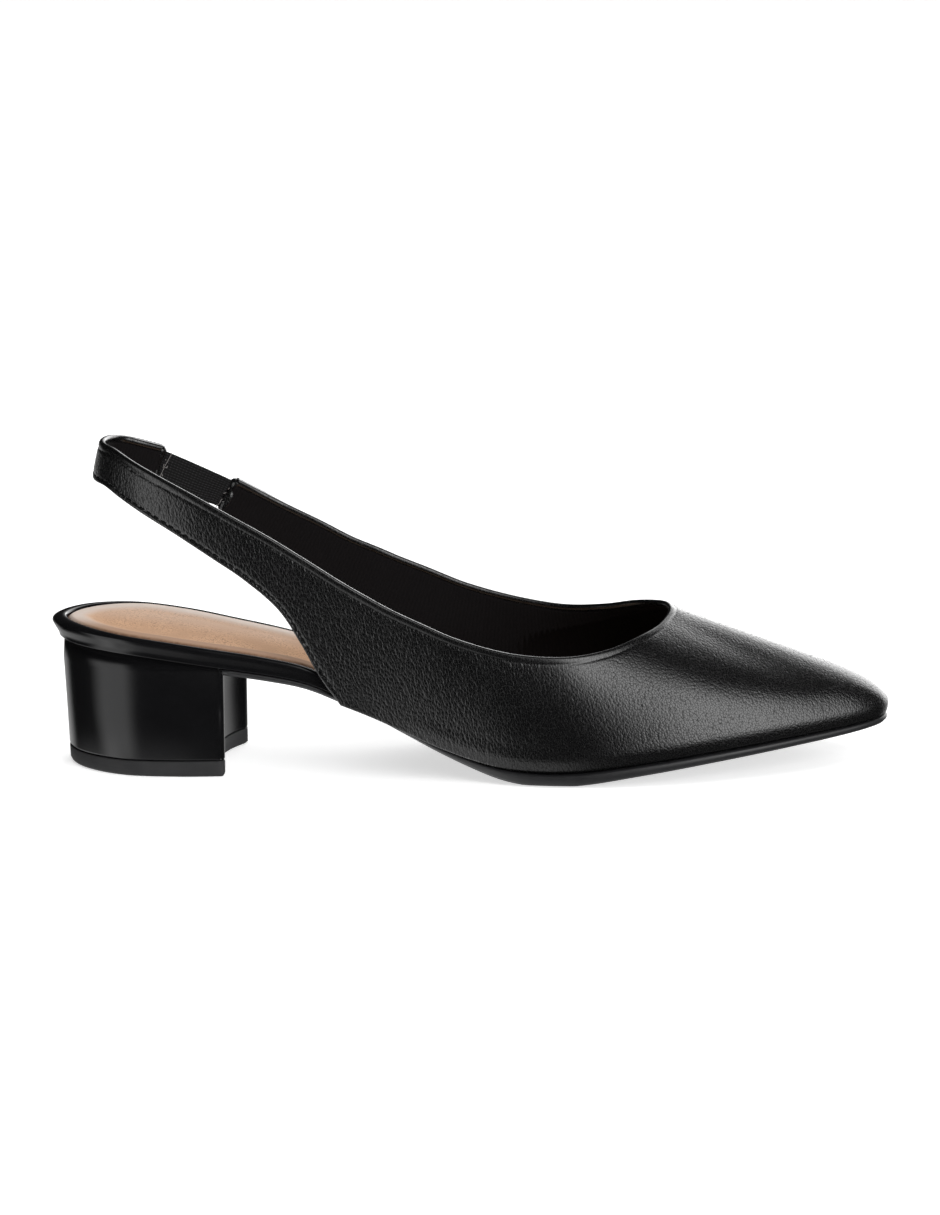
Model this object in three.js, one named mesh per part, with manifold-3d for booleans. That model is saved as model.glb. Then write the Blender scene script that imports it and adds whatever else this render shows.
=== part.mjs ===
// Heeled shoe for the right foot: a pointed pump with a low block heel and a strap round the back of the
// foot. Lengths are millimetres. The shoe is modelled with x from the back of the heel to the toe, y from
// the outer side (minus) to the inner side (plus), and z up from the floor. At the end it is centred over
// its origin.

import * as THREE from 'three';
import Module from 'manifold-3d';
import { mergeVertices } from 'three/addons/utils/BufferGeometryUtils.js';

const wasm = await Module();
wasm.setup();

// Driving sizes of the last and the sole

const length = 262;
const ballWidth = 76;
const waistWidth = 41;
const seatWidth = 50.4;
const seatHeight = 36.5;
const toeSpring = 9.8;
const soleThickness = 3.7;
const treadBevel = 1.3;
const treadInset = 2.2;

// Driving sizes of the upper

const wall = 1.8;
const strapRise = 61.8;
const throatRise = 40;
const collarWidth = 54.6;
const strapWidth = 13.4;
const elasticThickness = 1;

// Driving sizes of the footbed and the heel

const rimHeight = 5.6;
const forepartRim = 3;
const rimShoulder = 1.3;
const shoulderTurn = 0.3;
const rimWidth = 2.4;
const rimFlare = 2.2;
const insoleRecess = 1.6;
const insoleThickness = 1.3;
const insoleDish = 0.5;
const heelInset = 3;
const heelTaper = 1.6;
const seatCentre = -0.135 * seatWidth;
const breastHalf = 0.405 * seatWidth;
const breastAt = 54.8;
const breastSkew = 4.3;
const breastHollow = 5;
const breastRim = 2;
const liftThickness = 5;

// Gap kept between pieces that rest on each other

const clearance = 0.3;

// Mesh fineness

const stepsPerRow = 3;
const bandSteps = 10;
const capSteps = 3;
const breastSteps = 12;
const breastReach = 3;
const seatSteps = 60;
const nudge = 0.01;

// Side profile. seat is a share of seatHeight and spring a share of toeSpring, both above the ball. sole is
// the thickness of the outsole as a share of soleThickness, rim runs from forepartRim at 0 to rimHeight at
// 1, and flare is how far the footbed's side slants in towards its base, as a share of rimFlare.

const profileRows = [
  { at: 0.0, seat: 1.0, spring: 0.0, sole: 0.6, rim: 1.0, flare: 1.0 },
  { at: 0.046, seat: 0.992, spring: 0.0, sole: 0.6, rim: 1.0, flare: 0.6 },
  { at: 0.099, seat: 0.965, spring: 0.0, sole: 0.6, rim: 1.0, flare: 0.4 },
  { at: 0.153, seat: 0.912, spring: 0.0, sole: 0.6, rim: 1.0, flare: 0.3 },
  { at: 0.206, seat: 0.852, spring: 0.0, sole: 0.6, rim: 0.95, flare: 0.25 },
  { at: 0.26, seat: 0.79, spring: 0.0, sole: 0.6, rim: 0.85, flare: 0.2 },
  { at: 0.305, seat: 0.72, spring: 0.0, sole: 0.6, rim: 0.75, flare: 0.1 },
  { at: 0.344, seat: 0.605, spring: 0.0, sole: 0.6, rim: 0.6, flare: 0.0 },
  { at: 0.382, seat: 0.478, spring: 0.0, sole: 0.55, rim: 0.4, flare: 0.0 },
  { at: 0.42, seat: 0.338, spring: 0.0, sole: 0.58, rim: 0.2, flare: 0.0 },
  { at: 0.458, seat: 0.2, spring: 0.0, sole: 0.65, rim: 0.05, flare: 0.0 },
  { at: 0.496, seat: 0.098, spring: 0.0, sole: 0.8, rim: 0.0, flare: 0.0 },
  { at: 0.538, seat: 0.026, spring: 0.0, sole: 1.0, rim: 0.0, flare: 0.0 },
  { at: 0.58, seat: 0.0, spring: 0.0, sole: 1.08, rim: 0.0, flare: 0.0 },
  { at: 0.626, seat: 0.0, spring: 0.045, sole: 1.08, rim: 0.0, flare: 0.0 },
  { at: 0.695, seat: 0.0, spring: 0.25, sole: 0.95, rim: 0.0, flare: 0.0 },
  { at: 0.782, seat: 0.0, spring: 0.5, sole: 0.85, rim: 0.0, flare: 0.0 },
  { at: 0.874, seat: 0.0, spring: 0.724, sole: 0.78, rim: 0.0, flare: 0.0 },
  { at: 0.939, seat: 0.0, spring: 0.857, sole: 0.75, rim: 0.0, flare: 0.0 },
  { at: 1.0, seat: 0.0, spring: 1.0, sole: 0.72, rim: 0.0, flare: 0.0 },
];

// Outline of the footbed. outer and inner are shares of the width that the row follows, and sole is how far
// the outsole stands out past the footbed, as a share of the wall. The first row is the back and the last is
// the tip.

const outlineRows = [
  { at: 0.0, follows: seatWidth, outer: -0.109, inner: -0.109, sole: -0.22 },
  { at: 0.009, follows: seatWidth, outer: -0.278, inner: 0.063, sole: -0.22 },
  { at: 0.034, follows: seatWidth, outer: -0.444, inner: 0.222, sole: -0.22 },
  { at: 0.084, follows: seatWidth, outer: -0.587, inner: 0.353, sole: -0.22 },
  { at: 0.153, follows: seatWidth, outer: -0.623, inner: 0.377, sole: -0.22 },
  { at: 0.237, follows: seatWidth, outer: -0.593, inner: 0.313, sole: -0.22 },
  { at: 0.347, follows: waistWidth, outer: -0.688, inner: 0.307, sole: -0.22 },
  { at: 0.405, follows: waistWidth, outer: -0.7, inner: 0.337, sole: -0.22 },
  { at: 0.473, follows: ballWidth, outer: -0.4, inner: 0.245, sole: -0.1 },
  { at: 0.557, follows: ballWidth, outer: -0.44, inner: 0.337, sole: 1.85 },
  { at: 0.641, follows: ballWidth, outer: -0.453, inner: 0.416, sole: 2.0 },
  { at: 0.718, follows: ballWidth, outer: -0.416, inner: 0.442, sole: 2.0 },
  { at: 0.79, follows: ballWidth, outer: -0.346, inner: 0.408, sole: 1.95 },
  { at: 0.859, follows: ballWidth, outer: -0.254, inner: 0.338, sole: 1.85 },
  { at: 0.924, follows: ballWidth, outer: -0.147, inner: 0.242, sole: 1.6 },
  { at: 0.967, follows: ballWidth, outer: -0.0605, inner: 0.157, sole: 1.4 },
  { at: 0.984, follows: ballWidth, outer: -0.003, inner: 0.11, sole: 1.3 },
  { at: 0.9893, follows: ballWidth, outer: 0.055, inner: 0.055, sole: 1.25 },
];

// Strap and outer quarter, from the cut end on the inner side round the back to the waist. at and side place
// the top edge as shares of length and collarWidth, and up is its height over the sole as a share of
// strapRise. width is the band's width and flare how far its lower edge stands out, as shares of strapWidth,
// and thick is the band's thickness as a share of the wall.

const strapRows = [
  { at: 0.124, side: 0.317, up: 0.937, width: 1.0, flare: 0.02, thick: 1.9 },
  { at: 0.099, side: 0.249, up: 0.964, width: 0.98, flare: 0.05, thick: 1.9 },
  { at: 0.079, side: 0.168, up: 0.987, width: 0.94, flare: 0.1, thick: 1.0 },
  { at: 0.067, side: 0.062, up: 1.0, width: 0.91, flare: 0.16, thick: 1.0 },
  { at: 0.062, side: -0.073, up: 1.002, width: 0.89, flare: 0.2, thick: 1.0 },
  { at: 0.067, side: -0.212, up: 1.003, width: 0.9, flare: 0.17, thick: 1.0 },
  { at: 0.082, side: -0.326, up: 0.997, width: 0.92, flare: 0.11, thick: 1.0 },
  { at: 0.106, side: -0.432, up: 0.961, width: 0.95, flare: 0.05, thick: 1.0 },
  { at: 0.137, side: -0.513, up: 0.92, width: 0.98, flare: 0.02, thick: 1.0 },
  { at: 0.181, side: -0.562, up: 0.857, width: 1.02, flare: 0.0, thick: 1.0 },
  { at: 0.225, side: -0.581, up: 0.785, width: 1.08, flare: 0.0, thick: 1.0 },
  { at: 0.267, side: -0.59, up: 0.716, width: 1.16, flare: -0.01, thick: 1.0 },
  { at: 0.313, side: -0.595, up: 0.642, width: 1.34, flare: -0.03, thick: 1.0 },
  { at: 0.349, side: -0.601, up: 0.61, width: 1.75, flare: -0.08, thick: 1.0 },
  { at: 0.378, side: -0.604, up: 0.595, width: 2.2, flare: -0.14, thick: 1.0 },
];

// Vamp and quarters over the sole, a row for each row of the outline that they stand on, from the outer
// waist round the toe to the inner waist. at, side and up place the topline as shares of length, ballWidth
// and throatRise. drop is how far the lower edge hangs past the sole's top, as a share of soleThickness.

const toplineRows = [
  { at: 0.405, side: -0.437, up: 0.912, drop: 0.6 },
  { at: 0.439, side: -0.441, up: 0.925, drop: 0.3 },
  { at: 0.485, side: -0.446, up: 0.928, drop: 0.0 },
  { at: 0.548, side: -0.446, up: 0.918, drop: 0.0 },
  { at: 0.611, side: -0.416, up: 0.895, drop: 0.0 },
  { at: 0.658, side: -0.34, up: 0.893, drop: 0.0 },
  { at: 0.695, side: -0.234, up: 0.923, drop: 0.0 },
  { at: 0.718, side: -0.125, up: 0.943, drop: 0.0 },
  { at: 0.729, side: -0.04, up: 0.968, drop: 0.0 },
  { at: 0.733, side: 0.007, up: 0.985, drop: 0.0 },
  { at: 0.734, side: 0.034, up: 0.995, drop: 0.0 },
  { at: 0.7345, side: 0.055, up: 1.0, drop: 0.0 },
  { at: 0.734, side: 0.076, up: 1.0, drop: 0.0 },
  { at: 0.733, side: 0.105, up: 1.003, drop: 0.0 },
  { at: 0.729, side: 0.158, up: 1.003, drop: 0.0 },
  { at: 0.718, side: 0.23, up: 0.99, drop: 0.0 },
  { at: 0.695, side: 0.316, up: 0.968, drop: 0.0 },
  { at: 0.66, side: 0.386, up: 0.935, drop: 0.0 },
  { at: 0.611, side: 0.428, up: 0.94, drop: 0.0 },
  { at: 0.553, side: 0.428, up: 0.993, drop: 0.0 },
  { at: 0.49, side: 0.405, up: 1.022, drop: 0.0 },
  { at: 0.443, side: 0.384, up: 1.025, drop: 0.3 },
  { at: 0.408, side: 0.368, up: 1.003, drop: 0.6 },
];

// Bend of the sections over the sole, a row for each row of the outline from the waist to the tip. lean,
// reach, rise and fall are shares of the section's own run and height, and bulge and swell are shares of
// ballWidth.

const bendRows = [
  { lean: 0.25, rise: 0.33, bulge: 0.008, reach: 0.33, fall: 0.33, swell: 0.01 },
  { lean: 0.1, rise: 0.33, bulge: 0.016, reach: 0.33, fall: 0.33, swell: 0.015 },
  { lean: 0.0, rise: 0.33, bulge: 0.025, reach: 0.33, fall: 0.33, swell: 0.02 },
  { lean: 0.0, rise: 0.33, bulge: 0.03, reach: 0.35, fall: 0.33, swell: 0.02 },
  { lean: 0.0, rise: 0.34, bulge: 0.03, reach: 0.38, fall: 0.32, swell: 0.02 },
  { lean: 0.0, rise: 0.37, bulge: 0.03, reach: 0.44, fall: 0.3, swell: 0.015 },
  { lean: 0.0, rise: 0.39, bulge: 0.029, reach: 0.52, fall: 0.3, swell: 0.01 },
  { lean: 0.0, rise: 0.38, bulge: 0.029, reach: 0.6, fall: 0.36, swell: 0.005 },
  { lean: 0.0, rise: 0.36, bulge: 0.03, reach: 0.7, fall: 0.49, swell: 0.0 },
  { lean: 0.0, rise: 0.34, bulge: 0.031, reach: 0.77, fall: 0.56, swell: 0.0 },
  { lean: 0.0, rise: 0.33, bulge: 0.032, reach: 0.8, fall: 0.58, swell: 0.0 },
  { lean: 0.0, rise: 0.33, bulge: 0.033, reach: 0.815, fall: 0.585, swell: 0.0 },
];

const strapBend = { lean: 0.333, rise: 0.333, bulge: 0.004, reach: 0.333, fall: 0.333, swell: 0.004 };

// Inner quarter and its tab, from the waist back to the cut end that holds the elastic. The columns are the
// strap's.

const tabRows = [
  { at: 0.382, side: 0.494, up: 0.644, width: 2.2, flare: -0.62, thick: 1.0 },
  { at: 0.351, side: 0.482, up: 0.64, width: 1.75, flare: -0.42, thick: 1.0 },
  { at: 0.315, side: 0.463, up: 0.659, width: 1.34, flare: -0.24, thick: 1.0 },
  { at: 0.271, side: 0.447, up: 0.708, width: 1.14, flare: -0.12, thick: 1.0 },
  { at: 0.24, side: 0.434, up: 0.762, width: 1.0, flare: -0.07, thick: 1.9 },
  { at: 0.213, side: 0.423, up: 0.806, width: 0.93, flare: -0.06, thick: 1.9 },
];

// Elastic between the strap and the tab: how deep it sits in each end, as a share of the first row's
// spacing, and the part of the band's width that it takes.

const elasticDepths = [0.8, 0.4, 0.0];
const elasticLow = 0.17;
const elasticHigh = 0.88;
const elasticRowSteps = 4;

// Reading the tables

function hermite(from, to, slopeFrom, slopeTo, share) {
  const square = share * share;
  const cube = square * share;
  const start = (2 * cube - 3 * square + 1) * from + (cube - 2 * square + share) * slopeFrom;
  const end = (3 * square - 2 * cube) * to + (cube - square) * slopeTo;
  return start + end;
}

function profile(column, x) {
  const last = profileRows.length - 1;
  const at = Math.min(Math.max(x / length, 0), 1);
  let row = 0;
  while (row < last - 1 && profileRows[row + 1].at < at) {
    row += 1;
  }
  const from = profileRows[row];
  const to = profileRows[row + 1];
  const span = to.at - from.at;
  const slope = (index) => {
    const before = profileRows[Math.max(index - 1, 0)];
    const after = profileRows[Math.min(index + 1, last)];
    return ((after[column] - before[column]) / (after.at - before.at)) * span;
  };
  return hermite(from[column], to[column], slope(row), slope(row + 1), (at - from.at) / span);
}

function byRow(values, index) {
  const last = values.length - 1;
  const row = Math.min(Math.floor(index), last - 1);
  const slope = (place) => (values[Math.min(place + 1, last)] - values[Math.max(place - 1, 0)]) / 2;
  return hermite(values[row], values[row + 1], slope(row), slope(row + 1), index - row);
}

// Heights of the sole's top and tread and of the footbed along the shoe

function soleTop(x) {
  return soleThickness + profile('seat', x) * seatHeight + profile('spring', x) * toeSpring;
}

function soleTread(x) {
  return Math.max(soleTop(x) - profile('sole', x) * soleThickness, 0);
}

function rimTop(x) {
  const share = profile('rim', x);
  return soleTop(x) + clearance + forepartRim + share * (rimHeight - forepartRim);
}

// Outline of the footbed as one closed curve, with a place on it for each row of the table

const tipRow = outlineRows.length - 1;
const outlineTurn = 2 * tipRow;

const outlineCurve = new THREE.CatmullRomCurve3(
  Array.from({ length: outlineTurn }, (unused, index) => {
    const row = outlineRows[index <= tipRow ? index : outlineTurn - index];
    const side = index <= tipRow ? row.outer : row.inner;
    return new THREE.Vector3(row.at * length, side * row.follows, 0);
  }),
  true,
  'centripetal',
);

function soleMargin(index) {
  const folded = index <= tipRow ? index : outlineTurn - index;
  return byRow(outlineRows.map((row) => row.sole), folded) * wall;
}

function outlinePoint(index, out) {
  const place = index / outlineTurn;
  const point = outlineCurve.getPoint(place);
  const tangent = outlineCurve.getTangent(place);
  const scale = out / Math.hypot(tangent.x, tangent.y);
  return new THREE.Vector3(point.x + tangent.y * scale, point.y - tangent.x * scale, 0);
}

function outlineLoop(outAt, first = 0, last = outlineTurn) {
  const count = (last - first) * stepsPerRow;
  return Array.from({ length: count }, (unused, step) => {
    const index = first + step / stepsPerRow;
    return outlinePoint(index, outAt(index));
  });
}

// Building closed meshes from points and triangles

function makeGeometry(points, triangles) {
  const geometry = new THREE.BufferGeometry();
  const flat = points.flatMap((point) => [point.x, point.y, point.z]);
  geometry.setAttribute('position', new THREE.Float32BufferAttribute(flat, 3));
  geometry.setIndex(triangles);
  return geometry;
}

// A stack of closed loops, each a ring of points at its own heights, closed by a cap below and one above.
// The caps run in strips from one side to the other, and the upper one can be dished.

function stackLoops(loops, dish) {
  const points = loops.flat();
  const triangles = [];
  const count = loops[0].length;
  for (let layer = 0; layer < loops.length - 1; layer += 1) {
    for (let step = 0; step < count; step += 1) {
      const next = (step + 1) % count;
      const low = layer * count;
      const high = low + count;
      triangles.push(low + step, low + next, high + next);
      triangles.push(low + step, high + next, high + step);
    }
  }
  addCap(points, triangles, 0, count, 0, false);
  addCap(points, triangles, (loops.length - 1) * count, count, dish, true);
  return makeGeometry(points, triangles);
}

function addCap(points, triangles, first, count, dish, upward) {
  const half = count / 2;
  const strips = [[first]];
  for (let step = 1; step < half; step += 1) {
    const outer = points[first + step];
    const inner = points[first + count - step];
    const strip = [first + step];
    for (let part = 1; part < capSteps; part += 1) {
      const share = part / capSteps;
      const point = outer.clone().lerp(inner, share);
      point.z -= dish * 4 * share * (1 - share);
      strip.push(points.push(point) - 1);
    }
    strip.push(first + count - step);
    strips.push(strip);
  }
  strips.push([first + half]);
  const addFace = (a, b, c) => triangles.push(...(upward ? [a, b, c] : [a, c, b]));
  for (let row = 0; row < strips.length - 1; row += 1) {
    const here = strips[row];
    const ahead = strips[row + 1];
    for (let part = 0; part < capSteps; part += 1) {
      if (here.length > 1 && ahead.length > 1) {
        addFace(here[part], ahead[part], ahead[part + 1]);
        addFace(here[part], ahead[part + 1], here[part + 1]);
      } else if (here.length > 1) {
        addFace(here[part], ahead[0], here[part + 1]);
      } else {
        addFace(here[0], ahead[part], ahead[part + 1]);
      }
    }
  }
}

// A loop that follows the footbed's outline at a given margin and height

function soleLoop(outAt, heightAt) {
  return outlineLoop(outAt).map((point) => point.setZ(heightAt(point.x)));
}

// A sheet of points given a thickness outside and inside, as one closed wall

function sheetNormals(sheet) {
  const lastRow = sheet.length - 1;
  const lastStep = sheet[0].length - 1;
  return sheet.map((line, row) =>
    line.map((point, step) => {
      const ahead = sheet[Math.min(row + 1, lastRow)][step];
      const behind = sheet[Math.max(row - 1, 0)][step];
      const above = line[Math.min(step + 1, lastStep)];
      const below = line[Math.max(step - 1, 0)];
      const run = ahead.clone().sub(behind);
      const climb = above.clone().sub(below);
      return run.cross(climb).normalize();
    }),
  );
}

function thicken(sheet, outside, inside) {
  const normals = sheetNormals(sheet);
  const rows = sheet.length;
  const steps = sheet[0].length;
  const shifted = (amount) =>
    sheet.flatMap((line, row) =>
      line.map((point, step) => point.clone().addScaledVector(normals[row][step], amount(row))),
    );
  const points = [...shifted(outside), ...shifted((row) => -inside(row))];
  const triangles = [];
  const behind = rows * steps;
  for (let row = 0; row < rows - 1; row += 1) {
    for (let step = 0; step < steps - 1; step += 1) {
      const here = row * steps + step;
      const ahead = here + steps;
      triangles.push(here, ahead, ahead + 1, here, ahead + 1, here + 1);
      triangles.push(behind + here, behind + ahead + 1, behind + ahead);
      triangles.push(behind + here, behind + here + 1, behind + ahead + 1);
    }
  }
  const rim = [];
  for (let row = 0; row < rows - 1; row += 1) {
    rim.push(row * steps);
  }
  for (let step = 0; step < steps - 1; step += 1) {
    rim.push((rows - 1) * steps + step);
  }
  for (let row = rows - 1; row > 0; row -= 1) {
    rim.push(row * steps + steps - 1);
  }
  for (let step = steps - 1; step > 0; step -= 1) {
    rim.push(step);
  }
  rim.forEach((here, place) => {
    const next = rim[(place + 1) % rim.length];
    triangles.push(next, here, behind + here, next, behind + here, behind + next);
  });
  return makeGeometry(points, triangles);
}

// Joining and cutting

function toSolid(geometry) {
  const bare = geometry.clone();
  bare.deleteAttribute('normal');
  bare.deleteAttribute('uv');
  const merged = mergeVertices(bare);
  return new wasm.Manifold(
    new wasm.Mesh({
      numProp: 3,
      vertProperties: new Float32Array(merged.attributes.position.array),
      triVerts: new Uint32Array(merged.index.array),
    }),
  );
}

function toGeometry(solid) {
  const mesh = solid.getMesh();
  const geometry = new THREE.BufferGeometry();
  geometry.setAttribute('position', new THREE.BufferAttribute(new Float32Array(mesh.vertProperties), 3));
  geometry.setIndex(new THREE.BufferAttribute(new Uint32Array(mesh.triVerts), 1));
  return geometry;
}

// Outsole: a thin sole with a bevelled tread edge, cut off in front of the heel

function makeOutsole() {
  const bevelled = (index) => soleMargin(index) - treadInset;
  const edge = (x) => soleTread(x) + treadBevel;
  const loops = [soleLoop(bevelled, soleTread), soleLoop(soleMargin, edge), soleLoop(soleMargin, soleTop)];
  const plate = toSolid(stackLoops(loops, 0));
  return toGeometry(plate.subtract(behindBreast(clearance)));
}

// Everything behind the heel's front face, which is a hollow curve between two flat edges

function breastPoint(share, ahead) {
  const hollowEnd = 1 - breastRim / breastHalf;
  const inHollow = Math.min(Math.abs(share) / hollowEnd, 1);
  const hollow = breastHollow * (1 - inHollow * inHollow);
  const skew = (breastSkew * (share + 1)) / 2;
  return new THREE.Vector2(breastAt + skew - hollow + ahead, seatCentre + share * breastHalf);
}

function behindBreast(ahead) {
  const shape = new THREE.Shape();
  const first = breastPoint(-breastReach, ahead);
  const last = breastPoint(breastReach, ahead);
  shape.moveTo(-length, first.y);
  shape.lineTo(first.x, first.y);
  for (let step = 0; step <= breastSteps; step += 1) {
    const point = breastPoint((2 * step) / breastSteps - 1, ahead);
    shape.lineTo(point.x, point.y);
  }
  shape.lineTo(last.x, last.y);
  shape.lineTo(-length, last.y);
  const block = new THREE.ExtrudeGeometry(shape, { depth: 2 * length, bevelEnabled: false });
  block.translate(0, 0, -length);
  return toSolid(block);
}

// Everything under the heel seat

function underSeat() {
  const shape = new THREE.Shape();
  const reach = length / 2;
  shape.moveTo(-reach, -reach);
  shape.lineTo(reach, -reach);
  for (let step = seatSteps; step >= 0; step -= 1) {
    const x = (reach * step) / seatSteps;
    shape.lineTo(x, soleTop(x));
  }
  shape.lineTo(-reach, soleTop(0));
  const block = new THREE.ExtrudeGeometry(shape, { depth: length, bevelEnabled: false });
  block.rotateX(Math.PI / 2);
  block.translate(0, length / 2, 0);
  return toSolid(block);
}

// Heel block and lift: one outline inside the footbed's, drawn in a little at the back towards the floor

function heelLoop(z) {
  const lean = heelTaper * (1 - z / soleTop(0));
  const loop = outlineLoop(() => -heelInset);
  return loop.map((point) => {
    const shift = lean * Math.max(1 - point.x / breastAt, 0);
    return new THREE.Vector3(point.x + shift, point.y, z);
  });
}

function makeHeelBlock() {
  const over = soleTop(0) + liftThickness;
  const column = toSolid(stackLoops([heelLoop(liftThickness + clearance), heelLoop(over)], 0));
  return toGeometry(column.intersect(behindBreast(0)).intersect(underSeat()));
}

function makeHeelLift() {
  const column = toSolid(stackLoops([heelLoop(0), heelLoop(liftThickness)], 0));
  return toGeometry(column.intersect(behindBreast(0)));
}

// Footbed: a wrapped board with a rounded shoulder and a shallow recess for the insole

function makePlatform() {
  const under = (x) => soleTop(x) + clearance;
  const shoulder = (x) => rimTop(x) - rimShoulder;
  const nearTop = (x) => rimTop(x) - shoulderTurn * rimShoulder;
  const recess = (x) => rimTop(x) - insoleRecess;
  const slanted = (index) => -rimFlare * profile('flare', outlinePoint(index, 0).x);
  const loops = [
    soleLoop(slanted, under),
    soleLoop(() => 0, shoulder),
    soleLoop(() => -shoulderTurn * rimShoulder, nearTop),
    soleLoop(() => -rimShoulder, rimTop),
    soleLoop(() => -rimWidth + clearance, rimTop),
    soleLoop(() => -rimWidth, recess),
  ];
  return stackLoops(loops, 0);
}

// Insole: a padded sock that stands a little proud of the rim and dips in the middle

function makeInsole() {
  const edge = -rimWidth - clearance;
  const under = (x) => rimTop(x) - insoleRecess + clearance;
  const shoulder = (x) => under(x) + insoleThickness / 2;
  const over = (x) => under(x) + insoleThickness;
  const loops = [
    soleLoop(() => edge, under),
    soleLoop(() => edge, shoulder),
    soleLoop(() => edge - insoleThickness / 2, over),
  ];
  return stackLoops(loops, insoleDish);
}

// Upper: a band that runs from the strap's cut end round the back, the outer side, the toe and the inner
// side to the tab. Places along it count the rows of the three tables, and places across it run from 0 at
// the lower edge to 1 at the topline.

const vampFirst = strapRows.length;
const vampLast = vampFirst + toplineRows.length - 1;
const bandLast = vampLast + tabRows.length;
const waistRow = 6;

const strapTop = (row) =>
  new THREE.Vector3(row.at * length, row.side * collarWidth, soleTop(row.at * length) + row.up * strapRise);

const toplineTop = (row) =>
  new THREE.Vector3(row.at * length, row.side * ballWidth, soleTop(row.at * length) + row.up * throatRise);

const topCurve = new THREE.CatmullRomCurve3(
  [...strapRows.map(strapTop), ...toplineRows.map(toplineTop), ...tabRows.map(strapTop)],
  false,
  'centripetal',
);

const bandBends = [
  ...strapRows.map(() => strapBend),
  ...toplineRows.map((row, index) => bendRows[Math.min(index, toplineRows.length - 1 - index)]),
  ...tabRows.map(() => strapBend),
];

const bandThickness = [
  ...strapRows.map((row) => row.thick),
  ...toplineRows.map(() => 1),
  ...tabRows.map((row) => row.thick),
];

function topPoint(place) {
  return topCurve.getPoint(place / bandLast);
}

function featherPoint(place) {
  const point = outlinePoint(waistRow + place - vampFirst, clearance + wall);
  const drop = byRow(toplineRows.map((row) => row.drop), place - vampFirst);
  return point.setZ(soleTop(point.x) + clearance - drop * soleThickness);
}

function strapLow(row, place) {
  const top = topPoint(place);
  const run = topCurve.getTangent(place / bandLast);
  const level = Math.hypot(run.x, run.y);
  const down = new THREE.Vector3((run.x / level) * run.z, (run.y / level) * run.z, -level);
  const outward = new THREE.Vector3(run.y / level, -run.x / level, 0);
  return top.addScaledVector(down, row.width * strapWidth).addScaledVector(outward, row.flare * strapWidth);
}

const strapLowCurve = new THREE.CatmullRomCurve3(
  [...strapRows.map((row, index) => strapLow(row, index)), featherPoint(vampFirst)],
  false,
  'centripetal',
);

const tabLowCurve = new THREE.CatmullRomCurve3(
  [featherPoint(vampLast), ...tabRows.map((row, index) => strapLow(row, vampLast + 1 + index))],
  false,
  'centripetal',
);

function lowPoint(place) {
  if (place < vampFirst) {
    return strapLowCurve.getPoint(place / vampFirst);
  }
  if (place > vampLast) {
    return tabLowCurve.getPoint((place - vampLast) / tabRows.length);
  }
  return featherPoint(place);
}

function bandSection(place) {
  const low = lowPoint(place);
  const top = topPoint(place);
  const run = lowPoint(Math.min(place + nudge, bandLast)).sub(lowPoint(Math.max(place - nudge, 0)));
  const outward = new THREE.Vector3(run.y, -run.x, 0).normalize();
  const bend = (column) => byRow(bandBends.map((row) => row[column]), place);
  const across = top.clone().sub(low).setZ(0);
  const height = top.z - low.z;
  const lower = low.clone().addScaledVector(across, bend('lean'));
  lower.z += height * bend('rise');
  lower.addScaledVector(outward, bend('bulge') * ballWidth);
  const upper = top.clone().addScaledVector(across, -bend('reach'));
  upper.z -= height * bend('fall');
  upper.addScaledVector(outward, bend('swell') * ballWidth);
  return new THREE.CubicBezierCurve3(low, lower, upper, top);
}

function makeShell() {
  const rows = Array.from({ length: bandLast * stepsPerRow + 1 }, (unused, step) => step / stepsPerRow);
  const sheet = rows.map((place) => bandSection(place).getPoints(bandSteps));
  return thicken(sheet, () => 0, (row) => wall * byRow(bandThickness, rows[row]));
}

// Elastic: a ribbon that sits in a slot in the thick end of the strap and in that of the tab

function bandMiddle(place, across) {
  const here = bandSection(place);
  const point = here.getPoint(across);
  const ahead = bandSection(Math.min(place + nudge, bandLast)).getPoint(across);
  const behind = bandSection(Math.max(place - nudge, 0)).getPoint(across);
  const normal = ahead.sub(behind).cross(here.getTangent(across)).normalize();
  return point.addScaledVector(normal, (-wall * byRow(bandThickness, place)) / 2);
}

function elasticSheet(margin) {
  const spacing = topPoint(0).distanceTo(topPoint(1));
  const depths = elasticDepths.map((depth) => (depth > 0 ? depth + margin / spacing : 0));
  const places = [...depths, ...depths.map((depth) => bandLast - depth).reverse()];
  const low = elasticLow - margin / strapWidth;
  const high = elasticHigh + margin / strapWidth;
  const steps = (places.length - 1) * elasticRowSteps;
  const lines = Array.from({ length: capSteps + 1 }, (unused, line) => {
    const across = low + ((high - low) * line) / capSteps;
    const points = places.map((place) => bandMiddle(place, across));
    return new THREE.CatmullRomCurve3(points, false, 'centripetal').getPoints(steps);
  });
  return Array.from({ length: steps + 1 }, (unused, step) => lines.map((line) => line[step]));
}

function elasticSolid(margin) {
  const half = () => elasticThickness / 2 + margin;
  return thicken(elasticSheet(margin), half, half);
}

function makeUpper() {
  return toGeometry(toSolid(makeShell()).subtract(toSolid(elasticSolid(clearance))));
}

// Materials

const finish = (color, roughness) => new THREE.MeshStandardMaterial({ color, roughness });

const leather = finish(0x161617, 0.5);
const gloss = finish(0x0b0b0c, 0.15);
const rubber = finish(0x121212, 0.7);
const sock = finish(0xd2ae92, 0.6);
const knit = finish(0x0c0c0d, 0.9);

// The shoe

function piece(name, geometry, material) {
  geometry.computeVertexNormals();
  const mesh = new THREE.Mesh(geometry, material);
  mesh.name = name;
  return mesh;
}

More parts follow.
